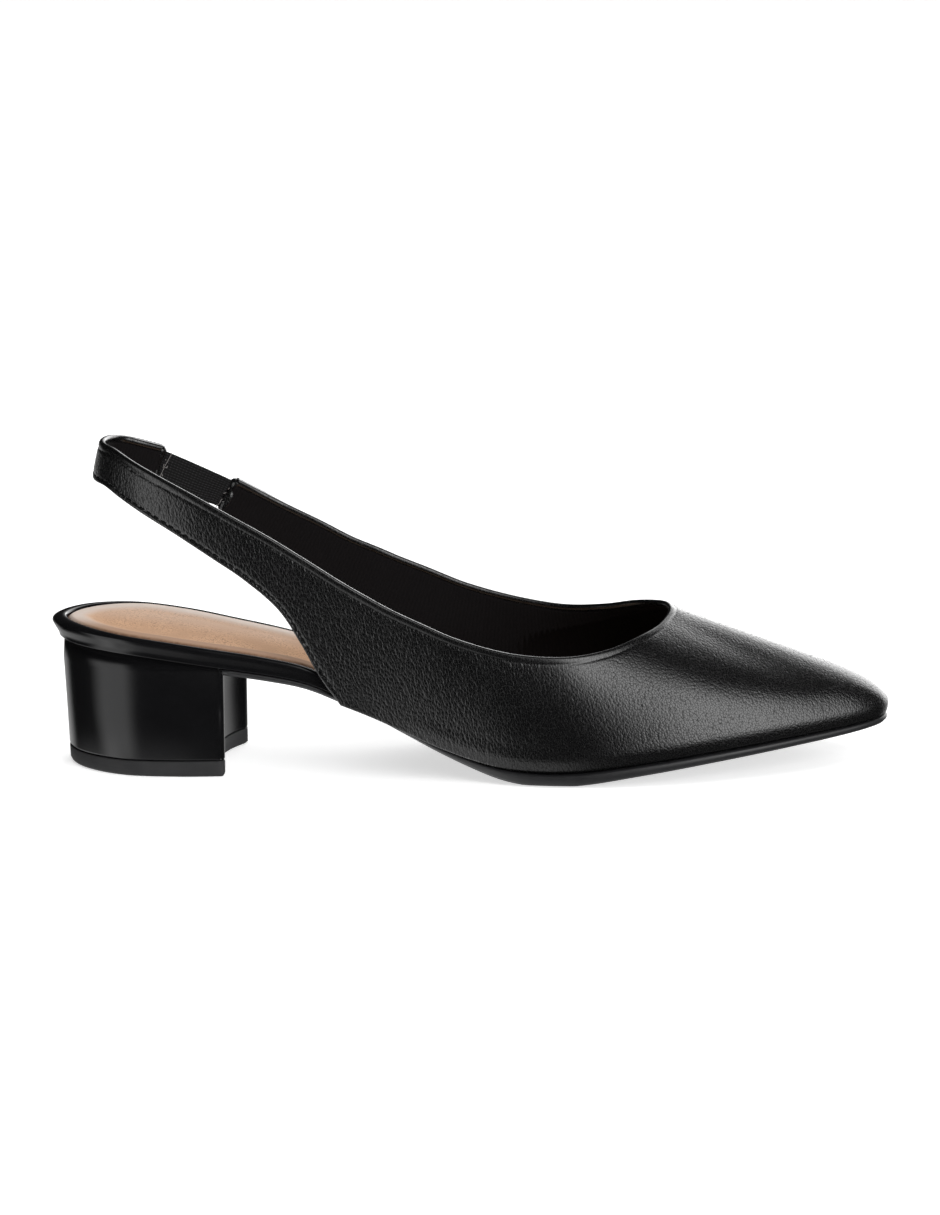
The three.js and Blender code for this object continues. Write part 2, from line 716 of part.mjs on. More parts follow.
const shoe = new THREE.Group();
shoe.add(piece('outsole', makeOutsole(), rubber));
shoe.add(piece('heel_lift', makeHeelLift(), rubber));
shoe.add(piece('heel_block', makeHeelBlock(), gloss));
shoe.add(piece('platform', makePlatform(), gloss));
shoe.add(piece('insole', makeInsole(), sock));
shoe.add(piece('upper', makeUpper(), leather));
shoe.add(piece('elastic', elasticSolid(0), knit));

const box = new THREE.Box3().setFromObject(shoe);
const middle = box.getCenter(new THREE.Vector3());
shoe.position.set(-middle.x, -middle.y, -box.min.z);

const part = new THREE.Group();
part.add(shoe);

export default part;
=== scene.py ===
"""Looks of a pointed slingback pump with a low block heel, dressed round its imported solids.

Lengths in this script are millimetres on the shoemaker's own axes, unless a docstring says otherwise. x runs
from the back of the heel to the toe, y from the outer side (minus) to the inner side (plus), and z up from
the floor. They become metres in the row's frame when a mesh is made.
"""

import logging
import math
from dataclasses import dataclass, field
from enum import Enum
from typing import Any, NamedTuple, Optional, Sequence

import bmesh
import bpy
import numpy as np
from mathutils import Matrix, Vector


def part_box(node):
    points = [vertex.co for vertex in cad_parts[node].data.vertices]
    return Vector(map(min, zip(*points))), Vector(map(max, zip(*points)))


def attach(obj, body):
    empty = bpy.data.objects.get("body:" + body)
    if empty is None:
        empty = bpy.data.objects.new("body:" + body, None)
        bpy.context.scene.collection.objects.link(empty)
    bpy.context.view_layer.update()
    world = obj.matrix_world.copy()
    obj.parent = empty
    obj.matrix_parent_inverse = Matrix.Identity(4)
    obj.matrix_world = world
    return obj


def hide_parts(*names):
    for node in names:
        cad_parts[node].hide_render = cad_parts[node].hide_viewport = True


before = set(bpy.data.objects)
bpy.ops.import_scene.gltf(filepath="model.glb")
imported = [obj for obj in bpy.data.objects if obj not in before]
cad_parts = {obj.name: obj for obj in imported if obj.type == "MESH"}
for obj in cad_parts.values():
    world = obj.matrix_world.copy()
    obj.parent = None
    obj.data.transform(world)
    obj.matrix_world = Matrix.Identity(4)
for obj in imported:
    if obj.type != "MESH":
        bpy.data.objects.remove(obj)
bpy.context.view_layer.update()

LOG = logging.getLogger("shoe")
METRE = 0.001
HEEL_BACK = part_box("platform")[0][0] / METRE
BODY = "root"
Side = tuple[np.ndarray, np.ndarray]
Socket = bpy.types.NodeSocket
GRID_END = 1e-6
TANGENT_STEP = 1e-4
LEAST_LENGTH = 1e-12
OFF_AXIS = (0.13, 0.07, 0.99)


class Width(Enum):
    """The width of the last that a row of the outline is a share of."""

    SEAT = "seat_width"
    WAIST = "waist_width"
    BALL = "ball_width"


class Edge(Enum):
    """An edge of the band that the upper is cut as."""

    TOPLINE = 1.0
    LOWER = 0.0


class Level(Enum):
    """The surface that a point of a section is measured from."""

    TOP = "top of the outsole"
    TREAD = "tread of the outsole"
    UNDER = "underside of the rim"
    SIDE = "side of the rim"
    RIM = "top of the rim"


class Stop(NamedTuple):
    """A point of a section.

    Fields:
        out: How far out from the footbed's outline it lies, minus to the inside.
        level: The surface that it is measured from.
        rise: Its height over that surface, or on the rim's side its share of the side's height.
    """

    out: Any
    level: Level
    rise: Any


# Tables of the last, the outline and the upper

PROFILE_COLUMNS = ("at", "seat", "spring", "sole", "rim", "flare")
PROFILE = (
    (0.0, 1.0, 0.0, 0.6, 1.0, 1.0),
    (0.046, 0.992, 0.0, 0.6, 1.0, 0.6),
    (0.099, 0.965, 0.0, 0.6, 1.0, 0.4),
    (0.153, 0.912, 0.0, 0.6, 1.0, 0.3),
    (0.206, 0.852, 0.0, 0.6, 0.95, 0.25),
    (0.26, 0.79, 0.0, 0.6, 0.85, 0.2),
    (0.305, 0.72, 0.0, 0.6, 0.75, 0.1),
    (0.344, 0.605, 0.0, 0.6, 0.6, 0.0),
    (0.382, 0.478, 0.0, 0.55, 0.4, 0.0),
    (0.42, 0.338, 0.0, 0.58, 0.2, 0.0),
    (0.458, 0.2, 0.0, 0.65, 0.05, 0.0),
    (0.496, 0.098, 0.0, 0.8, 0.0, 0.0),
    (0.538, 0.026, 0.0, 1.0, 0.0, 0.0),
    (0.58, 0.0, 0.0, 1.08, 0.0, 0.0),
    (0.626, 0.0, 0.045, 1.08, 0.0, 0.0),
    (0.695, 0.0, 0.25, 0.95, 0.0, 0.0),
    (0.782, 0.0, 0.5, 0.85, 0.0, 0.0),
    (0.874, 0.0, 0.724, 0.78, 0.0, 0.0),
    (0.939, 0.0, 0.857, 0.75, 0.0, 0.0),
    (1.0, 0.0, 1.0, 0.72, 0.0, 0.0),
)

OUTLINE_COLUMNS = ("at", "outer", "inner", "sole")
OUTLINE = (
    (Width.SEAT, (0.0, -0.109, -0.109, -0.22)),
    (Width.SEAT, (0.009, -0.278, 0.063, -0.22)),
    (Width.SEAT, (0.034, -0.444, 0.222, -0.22)),
    (Width.SEAT, (0.084, -0.587, 0.353, -0.22)),
    (Width.SEAT, (0.153, -0.623, 0.377, -0.22)),
    (Width.SEAT, (0.237, -0.593, 0.313, -0.22)),
    (Width.WAIST, (0.347, -0.688, 0.307, -0.22)),
    (Width.WAIST, (0.405, -0.7, 0.337, -0.22)),
    (Width.BALL, (0.473, -0.4, 0.245, -0.1)),
    (Width.BALL, (0.557, -0.44, 0.337, 1.85)),
    (Width.BALL, (0.641, -0.453, 0.416, 2.0)),
    (Width.BALL, (0.718, -0.416, 0.442, 2.0)),
    (Width.BALL, (0.79, -0.346, 0.408, 1.95)),
    (Width.BALL, (0.859, -0.254, 0.338, 1.85)),
    (Width.BALL, (0.924, -0.147, 0.242, 1.6)),
    (Width.BALL, (0.967, -0.0605, 0.157, 1.4)),
    (Width.BALL, (0.984, -0.003, 0.11, 1.3)),
    (Width.BALL, (0.9893, 0.055, 0.055, 1.25)),
)

BAND_COLUMNS = ("at", "side", "up", "width", "flare", "thick")
STRAP = (
    (0.124, 0.317, 0.937, 1.0, 0.02, 1.9),
    (0.099, 0.249, 0.964, 0.98, 0.05, 1.9),
    (0.079, 0.168, 0.987, 0.94, 0.1, 1.0),
    (0.067, 0.062, 1.0, 0.91, 0.16, 1.0),
    (0.062, -0.073, 1.002, 0.89, 0.2, 1.0),
    (0.067, -0.212, 1.003, 0.9, 0.17, 1.0),
    (0.082, -0.326, 0.997, 0.92, 0.11, 1.0),
    (0.106, -0.432, 0.961, 0.95, 0.05, 1.0),
    (0.137, -0.513, 0.92, 0.98, 0.02, 1.0),
    (0.181, -0.562, 0.857, 1.02, 0.0, 1.0),
    (0.225, -0.581, 0.785, 1.08, 0.0, 1.0),
    (0.267, -0.59, 0.716, 1.16, -0.01, 1.0),
    (0.313, -0.595, 0.642, 1.34, -0.03, 1.0),
    (0.349, -0.601, 0.61, 1.75, -0.08, 1.0),
    (0.378, -0.604, 0.595, 2.2, -0.14, 1.0),
)
TAB = (
    (0.382, 0.494, 0.644, 2.2, -0.62, 1.0),
    (0.351, 0.482, 0.64, 1.75, -0.42, 1.0),
    (0.315, 0.463, 0.659, 1.34, -0.24, 1.0),
    (0.271, 0.447, 0.708, 1.14, -0.12, 1.0),
    (0.24, 0.434, 0.762, 1.0, -0.07, 1.9),
    (0.213, 0.423, 0.806, 0.93, -0.06, 1.9),
)

TOPLINE_COLUMNS = ("at", "side", "up", "drop")
TOPLINE = (
    (0.405, -0.437, 0.912, 0.6),
    (0.439, -0.441, 0.925, 0.3),
    (0.485, -0.446, 0.928, 0.0),
    (0.548, -0.446, 0.918, 0.0),
    (0.611, -0.416, 0.895, 0.0),
    (0.658, -0.34, 0.893, 0.0),
    (0.695, -0.234, 0.923, 0.0),
    (0.718, -0.125, 0.943, 0.0),
    (0.729, -0.04, 0.968, 0.0),
    (0.733, 0.007, 0.985, 0.0),
    (0.734, 0.034, 0.995, 0.0),
    (0.7345, 0.055, 1.0, 0.0),
    (0.734, 0.076, 1.0, 0.0),
    (0.733, 0.105, 1.003, 0.0),
    (0.729, 0.158, 1.003, 0.0),
    (0.718, 0.23, 0.99, 0.0),
    (0.695, 0.316, 0.968, 0.0),
    (0.66, 0.386, 0.935, 0.0),
    (0.611, 0.428, 0.94, 0.0),
    (0.553, 0.428, 0.993, 0.0),
    (0.49, 0.405, 1.022, 0.0),
    (0.443, 0.384, 1.025, 0.3),
    (0.408, 0.368, 1.003, 0.6),
)

BEND_COLUMNS = ("lean", "rise", "bulge", "reach", "fall", "swell")
STRAP_BEND = (0.333, 0.333, 0.004, 0.333, 0.333, 0.004)
BEND = (
    (0.25, 0.33, 0.008, 0.33, 0.33, 0.01),
    (0.1, 0.33, 0.016, 0.33, 0.33, 0.015),
    (0.0, 0.33, 0.025, 0.33, 0.33, 0.02),
    (0.0, 0.33, 0.03, 0.35, 0.33, 0.02),
    (0.0, 0.34, 0.03, 0.38, 0.32, 0.02),
    (0.0, 0.37, 0.03, 0.44, 0.3, 0.015),
    (0.0, 0.39, 0.029, 0.52, 0.3, 0.01),
    (0.0, 0.38, 0.029, 0.6, 0.36, 0.005),
    (0.0, 0.36, 0.03, 0.7, 0.49, 0.0),
    (0.0, 0.34, 0.031, 0.77, 0.56, 0.0),
    (0.0, 0.33, 0.032, 0.8, 0.58, 0.0),
    (0.0, 0.33, 0.033, 0.815, 0.585, 0.0),
)


# Curves and blends through the tables


def column(rows: Sequence[Sequence[float]], names: Sequence[str], name: str) -> list[float]:
    """One column of a table, by its name."""
    return [row[names.index(name)] for row in rows]


def blend(values: np.ndarray, keys: np.ndarray, at: np.ndarray) -> np.ndarray:
    """Reads a smooth curve through a column of a table.

    Args:
        values: The column.
        keys: The place of each row, rising.
        at: The places to read.

    Returns:
        The value at each place.
    """
    at = np.clip(at, keys[0], keys[-1])
    row = np.clip(np.searchsorted(keys, at, side="right") - 1, 0, len(keys) - 2)
    more_values = np.pad(values, 1, mode="edge")
    more_keys = np.pad(keys, 1, mode="edge")
    slopes = (more_values[2:] - more_values[:-2]) / (more_keys[2:] - more_keys[:-2])
    span = keys[row + 1] - keys[row]
    share = (at - keys[row]) / span
    square, cube = share**2, share**3
    start = (2 * cube - 3 * square + 1) * values[row] + (cube - 2 * square + share) * slopes[row] * span
    end = (3 * square - 2 * cube) * values[row + 1] + (cube - square) * slopes[row + 1] * span
    return start + end


def by_row(values: Sequence[float], index: np.ndarray) -> np.ndarray:
    """Reads a column at places that count its rows."""
    return blend(np.asarray(values, float), np.arange(len(values), dtype=float), index)


def ease(value: np.ndarray, low: float, high: float) -> np.ndarray:
    """Rises smoothly from 0 at low to 1 at high."""
    share = np.clip((value - low) / (high - low), 0, 1)
    return share * share * (3 - 2 * share)


def unit(vectors: np.ndarray) -> np.ndarray:
    """Scales vectors to a length of one."""
    return vectors / np.maximum(np.linalg.norm(vectors, axis=-1, keepdims=True), LEAST_LENGTH)


def run_length(points: np.ndarray) -> np.ndarray:
    """Distance along a row of points to each of them."""
    return np.concatenate([[0.0], np.cumsum(np.linalg.norm(np.diff(points, axis=0), axis=-1))])


@dataclass(frozen=True)
class SmoothLine:
    """A smooth line through a few points, spaced by the root of their distances."""

    points: np.ndarray
    closed: bool = False

    def at(self, share: np.ndarray) -> np.ndarray:
        """Points at shares of the line's rows.

        Args:
            share: Places from 0 at the first point to 1 at the last.

        Returns:
            One point for each place.
        """
        count = len(self.points)
        if self.closed:
            ends = np.concatenate([self.points[-1:], self.points, self.points[:2]])
            place = (np.asarray(share, float) % 1.0) * count
            base = np.minimum(np.floor(place).astype(int), count - 1)
        else:
            before = 2 * self.points[:1] - self.points[1:2]
            after = 2 * self.points[-1:] - self.points[-2:-1]
            ends = np.concatenate([before, self.points, after])
            place = np.clip(share, 0, 1) * (count - 1)
            base = np.minimum(np.floor(place).astype(int), count - 2)
        weight = (place - base)[..., None]
        p0, p1, p2, p3 = (ends[base + step] for step in range(4))
        chords = ((p0, p1), (p1, p2), (p2, p3))
        d0, d1, d2 = (np.sqrt(np.linalg.norm(b - a, axis=-1, keepdims=True)) for a, b in chords)
        leave = ((p1 - p0) / d0 - (p2 - p0) / (d0 + d1) + (p2 - p1) / d1) * d1
        arrive = ((p2 - p1) / d1 - (p3 - p1) / (d1 + d2) + (p3 - p2) / d2) * d1
        bend = -3 * p1 + 3 * p2 - 2 * leave - arrive
        twist = 2 * p1 - 2 * p2 + leave + arrive
        return p1 + weight * (leave + weight * (bend + weight * twist))

    def tangent(self, share: np.ndarray) -> np.ndarray:
        """Directions of the line.

        Args:
            share: Places from 0 at the first point to 1 at the last.

        Returns:
            One direction for each place.
        """
        share = np.asarray(share, float)
        low, high = share - TANGENT_STEP, share + TANGENT_STEP
        if not self.closed:
            low, high = np.clip(low, 0, 1), np.clip(high, 0, 1)
        return unit(self.at(high) - self.at(low))


# The last: heights along the shoe and the footbed's outline


@dataclass(frozen=True)
class Last:
    """Sizes of the last and the sole, with the heights and the outline that follow from them."""

    length: float = 262.0
    ball_width: float = 76.0
    waist_width: float = 41.0
    seat_width: float = 50.4
    seat_height: float = 36.5
    toe_spring: float = 9.8
    sole_thickness: float = 3.7
    wall: float = 1.8
    rim_height: float = 5.6
    forepart_rim: float = 3.0
    clearance: float = 0.3
    side_shift: float = 0.4

    def profile(self, name: str, x: np.ndarray) -> np.ndarray:
        """Reads a column of the side profile at places along the shoe."""
        values, keys = (np.array(column(PROFILE, PROFILE_COLUMNS, label)) for label in (name, "at"))
        return blend(values, keys, np.asarray(x) / self.length)

    def sole_top(self, x: np.ndarray) -> np.ndarray:
        """Height of the outsole's top."""
        climb = self.profile("seat", x) * self.seat_height + self.profile("spring", x) * self.toe_spring
        return self.sole_thickness + climb

    def sole_tread(self, x: np.ndarray) -> np.ndarray:
        """Height of the outsole's tread."""
        return np.maximum(self.sole_top(x) - self.profile("sole", x) * self.sole_thickness, 0)

    def rim_top(self, x: np.ndarray) -> np.ndarray:
        """Height of the footbed's rim."""
        more = self.profile("rim", x) * (self.rim_height - self.forepart_rim)
        return self.sole_top(x) + self.clearance + self.forepart_rim + more

    @property
    def tip(self) -> int:
        """Number of the outline's row at the tip of the toe."""
        return len(OUTLINE) - 1

    @property
    def turn(self) -> int:
        """Number of rows all the way round the outline."""
        return 2 * self.tip

    def outline_line(self) -> SmoothLine:
        """The footbed's outline as a closed line.

        Returns:
            The line, from the back round the outer side.
        """
        points = []
        for index in range(self.turn):
            row = index if index <= self.tip else self.turn - index
            width, (at, outer, inner, _) = OUTLINE[row]
            side = outer if index <= self.tip else inner
            points.append((at * self.length, side * getattr(self, width.value), 0.0))
        return SmoothLine(np.array(points), closed=True)

    def outline(self, index: np.ndarray, out: np.ndarray | float) -> np.ndarray:
        """Points of the outline moved out by a margin.

        Args:
            index: Places that count the outline's rows, from the back round the outer side to the toe.
            out: The margin, minus to the inside.

        Returns:
            Points with a height of 0.
        """
        line = self.outline_line()
        share = np.asarray(index, float) / self.turn
        tangent = unit(line.tangent(share) * (1, 1, 0))
        normal = np.stack([tangent[..., 1], -tangent[..., 0], np.zeros_like(share)], axis=-1)
        return line.at(share) + normal * np.broadcast_to(out, share.shape)[..., None]

    def sole_margin(self, index: np.ndarray) -> np.ndarray:
        """How far the outsole stands out past the footbed.

        Args:
            index: Places that count the outline's rows.

        Returns:
            The margin at each place.
        """
        folded = np.where(index <= self.tip, index, self.turn - index)
        margins = column([values for _, values in OUTLINE], OUTLINE_COLUMNS, "sole")
        return by_row(margins, folded) * self.wall

    def to_frame(self, points: np.ndarray) -> np.ndarray:
        """Turns points on the shoemaker's axes into metres in the row's frame."""
        return (points + np.array([HEEL_BACK, self.side_shift, 0.0])) * METRE


# Making meshes


@dataclass
class Loft:
    """A grid of points that becomes one smooth mesh.

    Fields:
        points: Rows of points, rows by columns by three.
        wrap: Whether the last column joins the first, so that each row is a ring.
        cover: The pattern place of each point in millimetres, along and across, or None.
        marks: Named values of each point that a material reads.
    """

    points: np.ndarray
    wrap: bool = True
    cover: Optional[np.ndarray] = None
    marks: dict[str, np.ndarray] = field(default_factory=dict)

    def to_bmesh(self, last: Last) -> bmesh.types.BMesh:
        """Pulls a flat grid over the points and closes it.

        Args:
            last: The last, which turns the points into the frame.

        Returns:
            The mesh, closed and with its faces outwards where it wraps.
        """
        points, cover = self.points, self.cover
        marks = dict(self.marks)
        if self.wrap:
            points = np.concatenate([points, points[:, :1]], axis=1)
            marks = {name: np.concatenate([values, values[:, :1]], axis=1) for name, values in marks.items()}
            if cover is not None:
                cover = np.concatenate([cover, cover[:, :1]], axis=1)
        rows, columns = points.shape[:2]
        bm = bmesh.new()
        bmesh.ops.create_grid(bm, x_segments=columns - 1, y_segments=rows - 1, size=1.0)
        placed = last.to_frame(points.reshape(-1, 3))
        for vert, place in zip(bm.verts, placed):
            vert.co = place
        for name, values in marks.items():
            layer = bm.verts.layers.float.new(name)
            for vert, value in zip(bm.verts, values.reshape(-1)):
                vert[layer] = value
        if cover is not None:
            flat = cover.reshape(-1, 2)
            layer = bm.loops.layers.uv.new("cover")
            bm.verts.index_update()
            for face in bm.faces:
                for loop in face.loops:
                    loop[layer].uv = flat[loop.vert.index]
        if self.wrap:
            bmesh.ops.remove_doubles(bm, verts=bm.verts, dist=GRID_END)
            bmesh.ops.holes_fill(bm, edges=[edge for edge in bm.edges if edge.is_boundary], sides=0)
            bmesh.ops.recalc_face_normals(bm, faces=bm.faces)
        return bm


@dataclass
class Piece:
    name: str
    slot: str
    finish: "Finish"
    node: Optional[str] = None
    fill: Optional[float] = None

    def add(self, bm: bmesh.types.BMesh) -> bpy.types.Object:
        """Args:
            bm: The mesh, in metres in the frame. It is freed.

        Returns:
            The object, at the origin and unturned.
        """
        mesh = bpy.data.meshes.new(self.name)
        for face in bm.faces:
            face.smooth = True
        bm.to_mesh(mesh)
        bm.free()
        mesh.materials.append(self.finish.material())
        shape = stand(self.name, mesh)
        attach(shape, BODY)
        if self.node:
            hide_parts(self.node)
        LOG.info("%s: %d faces", self.name, len(mesh.polygons))
        return shape


def stand(name: str, data: Any) -> bpy.types.Object:
    """Makes an object and puts it in the scene, at the origin.

    Args:
        name: The object's name.
        data: Its mesh, light or camera.

    Returns:
        The object.
    """
    shape = bpy.data.objects.new(name, data)
    bpy.context.scene.collection.objects.link(shape)
    return shape


def tube_rings(path: np.ndarray, radius: np.ndarray | float, sides: int) -> np.ndarray:
    """Rings of points round a path.

    Args:
        path: Points along the tube.
        radius: The tube's radius, one value or one for each point.
        sides: How many points a ring has.

    Returns:
        Rings by sides by three.
    """
    run = unit(np.gradient(path, axis=0))
    across = unit(np.cross(run, np.array(OFF_AXIS)))
    up = np.cross(run, across)
    turn = np.linspace(0, 2 * math.pi, sides, endpoint=False)
    radius = np.broadcast_to(radius, len(path))[:, None, None]
    ring = across[:, None] * np.cos(turn)[None, :, None] + up[:, None] * np.sin(turn)[None, :, None]
    return path[:, None] + ring * radius


# Shader nodes


class Tree:
    """Short calls that add and join shader nodes in one tree."""

    def __init__(self, tree: bpy.types.NodeTree) -> None:
        """Keeps the tree."""
        self.tree = tree

    def link(self, value: Socket, target: Socket) -> None:
        """Joins an output to an input."""
        self.tree.links.new(value, target)

    def object_place(self) -> Socket:
        """Gives the place on the object."""
        return self.add("TexCoord").outputs["Object"]

    def add(self, kind: str, inputs: Optional[dict[Any, Any]] = None, **settings: Any) -> bpy.types.Node:
        """Adds a node.

        Args:
            kind: The node's type, without the words ShaderNode.
            inputs: A value or a socket for each named or numbered input.
            settings: The node's own settings.

        Returns:
            The node.
        """
        node = self.tree.nodes.new("ShaderNode" + kind)
        for name, value in settings.items():
            setattr(node, name, value)
        for name, value in (inputs or {}).items():
            if isinstance(value, Socket):
                self.link(value, node.inputs[name])
            else:
                node.inputs[name].default_value = value
        return node

    def math(self, operation: str, *values: Any) -> Socket:
        """Adds a Math node and gives its result."""
        return self.add("Math", dict(enumerate(values)), operation=operation).outputs[0]

    def vector(self, operation: str, *values: Any) -> Socket:
        """Adds a Vector Math node and gives its vector."""
        return self.add("VectorMath", dict(enumerate(values)), operation=operation).outputs[0]

    def ramp(self, value: Any, low: Any, high: Any, start: float = 0.0, end: float = 1.0) -> Socket:
        """Maps a value smoothly from low and high to start and end."""
        places = {"Value": value, "From Min": low, "From Max": high, "To Min": start, "To Max": end}
        return self.add("MapRange", places, interpolation_type="SMOOTHSTEP").outputs[0]

    def mix(self, share: Any, first: Any, second: Any) -> Socket:
        """Mixes two colours."""
        node = self.add("Mix", {0: share, 6: first, 7: second}, data_type="RGBA")
        return node.outputs[2]


def new_group(name: str, inputs: dict[str, tuple], outputs: dict[str, str]) -> tuple[Tree, Any, Any]:
    """Starts a shader node group.

    Args:
        name: The group's name.
        inputs: The kind and first value of each input.
        outputs: The kind of each output.

    Returns:
        The tree, its input node and its output node.
    """
    group = bpy.data.node_groups.new(name, "ShaderNodeTree")
    for label, (kind, value) in inputs.items():
        socket = group.interface.new_socket(label, in_out="INPUT", socket_type="NodeSocket" + kind)
        if value is not None:
            socket.default_value = value
    for label, kind in outputs.items():
        group.interface.new_socket(label, in_out="OUTPUT", socket_type="NodeSocket" + kind)
    return Tree(group), group.nodes.new("NodeGroupInput"), group.nodes.new("NodeGroupOutput")


def pebble_group() -> bpy.types.NodeTree:
    """Pebbled grain of leather: raised cells with narrow creases between them.

    Returns:
        The node group, built once.
    """
    slant = 0.16
    push = 0.9
    irregular = 0.85
    fall = 1.6
    crease_width = 0.11
    little_scale = 2.1
    dome_share, little_share, fine_share = 0.9, 0.08, 0.03
    name = "pebble_grain"
    if name in bpy.data.node_groups:
        return bpy.data.node_groups[name]
    tree, given, made = new_group(
        name,
        {"Vector": ("Vector", None), "Cell": ("Float", 1.2), "Stretch": ("Float", 1.0)},
        {"Height": "Float", "Crease": "Float"},
    )
    grown = tree.vector("SCALE", given.outputs["Vector"])
    scale = grown.node.inputs["Scale"]
    tree.link(tree.math("DIVIDE", 1 / METRE, given.outputs["Cell"]), scale)
    split = tree.add("SeparateXYZ", {0: grown})
    tall = tree.math("DIVIDE", split.outputs[2], given.outputs["Stretch"])
    slanted = tree.math("ADD", split.outputs[0], tree.math("MULTIPLY", split.outputs[2], slant))
    place = tree.add("CombineXYZ", {0: slanted, 1: split.outputs[1], 2: tall}).outputs[0]
    drift = tree.add("TexNoise", {"Vector": place, "Scale": 0.9, "Detail": 2.0, "Roughness": 0.5})
    pushed = tree.vector("ADD", place, tree.vector("MULTIPLY", drift.outputs["Color"], (push, push, push)))
    spread = {"Vector": pushed, "Scale": 1.0, "Randomness": irregular}
    cells = tree.add("TexVoronoi", spread, feature="F1").outputs["Distance"]
    dome = tree.math("SUBTRACT", 1.0, tree.math("MULTIPLY", tree.math("POWER", cells, 2.0), fall))
    edges = tree.add("TexVoronoi", spread, feature="DISTANCE_TO_EDGE").outputs["Distance"]
    crease = tree.ramp(edges, 0.0, crease_width, 1.0, 0.0)
    small = tree.add("TexVoronoi", {**spread, "Scale": little_scale}, feature="F1").outputs["Distance"]
    little = tree.math("SUBTRACT", 1.0, tree.math("POWER", small, 2.0))
    fine = tree.add("TexNoise", {"Vector": place, "Scale": 4.0, "Detail": 3.0, "Roughness": 0.6})
    cobbles = tree.math("MULTIPLY", little, little_share)
    height = tree.math("ADD", tree.math("MULTIPLY", dome, dome_share), cobbles)
    height = tree.math("ADD", height, tree.math("MULTIPLY", fine.outputs["Fac"], fine_share))
    tree.link(height, made.inputs["Height"])
    tree.link(crease, made.inputs["Crease"])
    return tree.tree


def wear_group() -> bpy.types.NodeTree:
    """Slow and fast unevenness of a surface, for its shade, gloss and lie.

    Returns:
        The node group, built once.
    """
    name = "unevenness"
    if name in bpy.data.node_groups:
        return bpy.data.node_groups[name]
    tree, given, made = new_group(
        name,
        {"Vector": ("Vector", None), "Slow": ("Float", 12.0), "Fast": ("Float", 0.6)},
        {"Slow": "Float", "Fast": "Float"},
    )
    for label, detail in (("Slow", 2.0), ("Fast", 4.0)):
        scale = tree.math("DIVIDE", 1 / METRE, given.outputs[label])
        noise = tree.add("TexNoise", {"Vector": given.outputs["Vector"], "Scale": scale, "Detail": detail})
        tree.link(noise.outputs["Fac"], made.inputs[label])
    return tree.tree


def rib_group() -> bpy.types.NodeTree:
    """Fine ribs of a cloth, crossed by finer threads, on places in millimetres.

    Returns:
        The node group, built once.
    """
    rib_share = 0.65
    name = "cloth_ribs"
    if name in bpy.data.node_groups:
        return bpy.data.node_groups[name]
    tree, given, made = new_group(
        name,
        {"Place": ("Vector", None), "Rib": ("Float", 1.0), "Thread": ("Float", 0.5), "Loose": ("Float", 0.3)},
        {"Height": "Float", "Valley": "Float"},
    )
    drift = tree.add("TexNoise", {"Vector": given.outputs["Place"], "Scale": 0.7, "Detail": 3.0})
    push = tree.math("MULTIPLY", tree.math("SUBTRACT", drift.outputs["Fac"], 0.5), given.outputs["Loose"])
    split = tree.add("SeparateXYZ", {0: given.outputs["Place"]})
    along = tree.math("ADD", split.outputs[0], push)
    waves = []
    for value, size in ((along, "Rib"), (split.outputs[1], "Thread")):
        angle = tree.math("MULTIPLY", tree.math("DIVIDE", value, given.outputs[size]), 2 * math.pi)
        waves.append(tree.math("MULTIPLY_ADD", tree.math("SINE", angle), 0.5, 0.5))
    ribs, threads = tree.math("MULTIPLY", waves[0], rib_share), tree.math("MULTIPLY", waves[1], 1 - rib_share)
    height = tree.math("ADD", ribs, threads)
    tree.link(height, made.inputs["Height"])
    tree.link(tree.math("SUBTRACT", 1.0, waves[0]), made.inputs["Valley"])
    return tree.tree


# Finishes


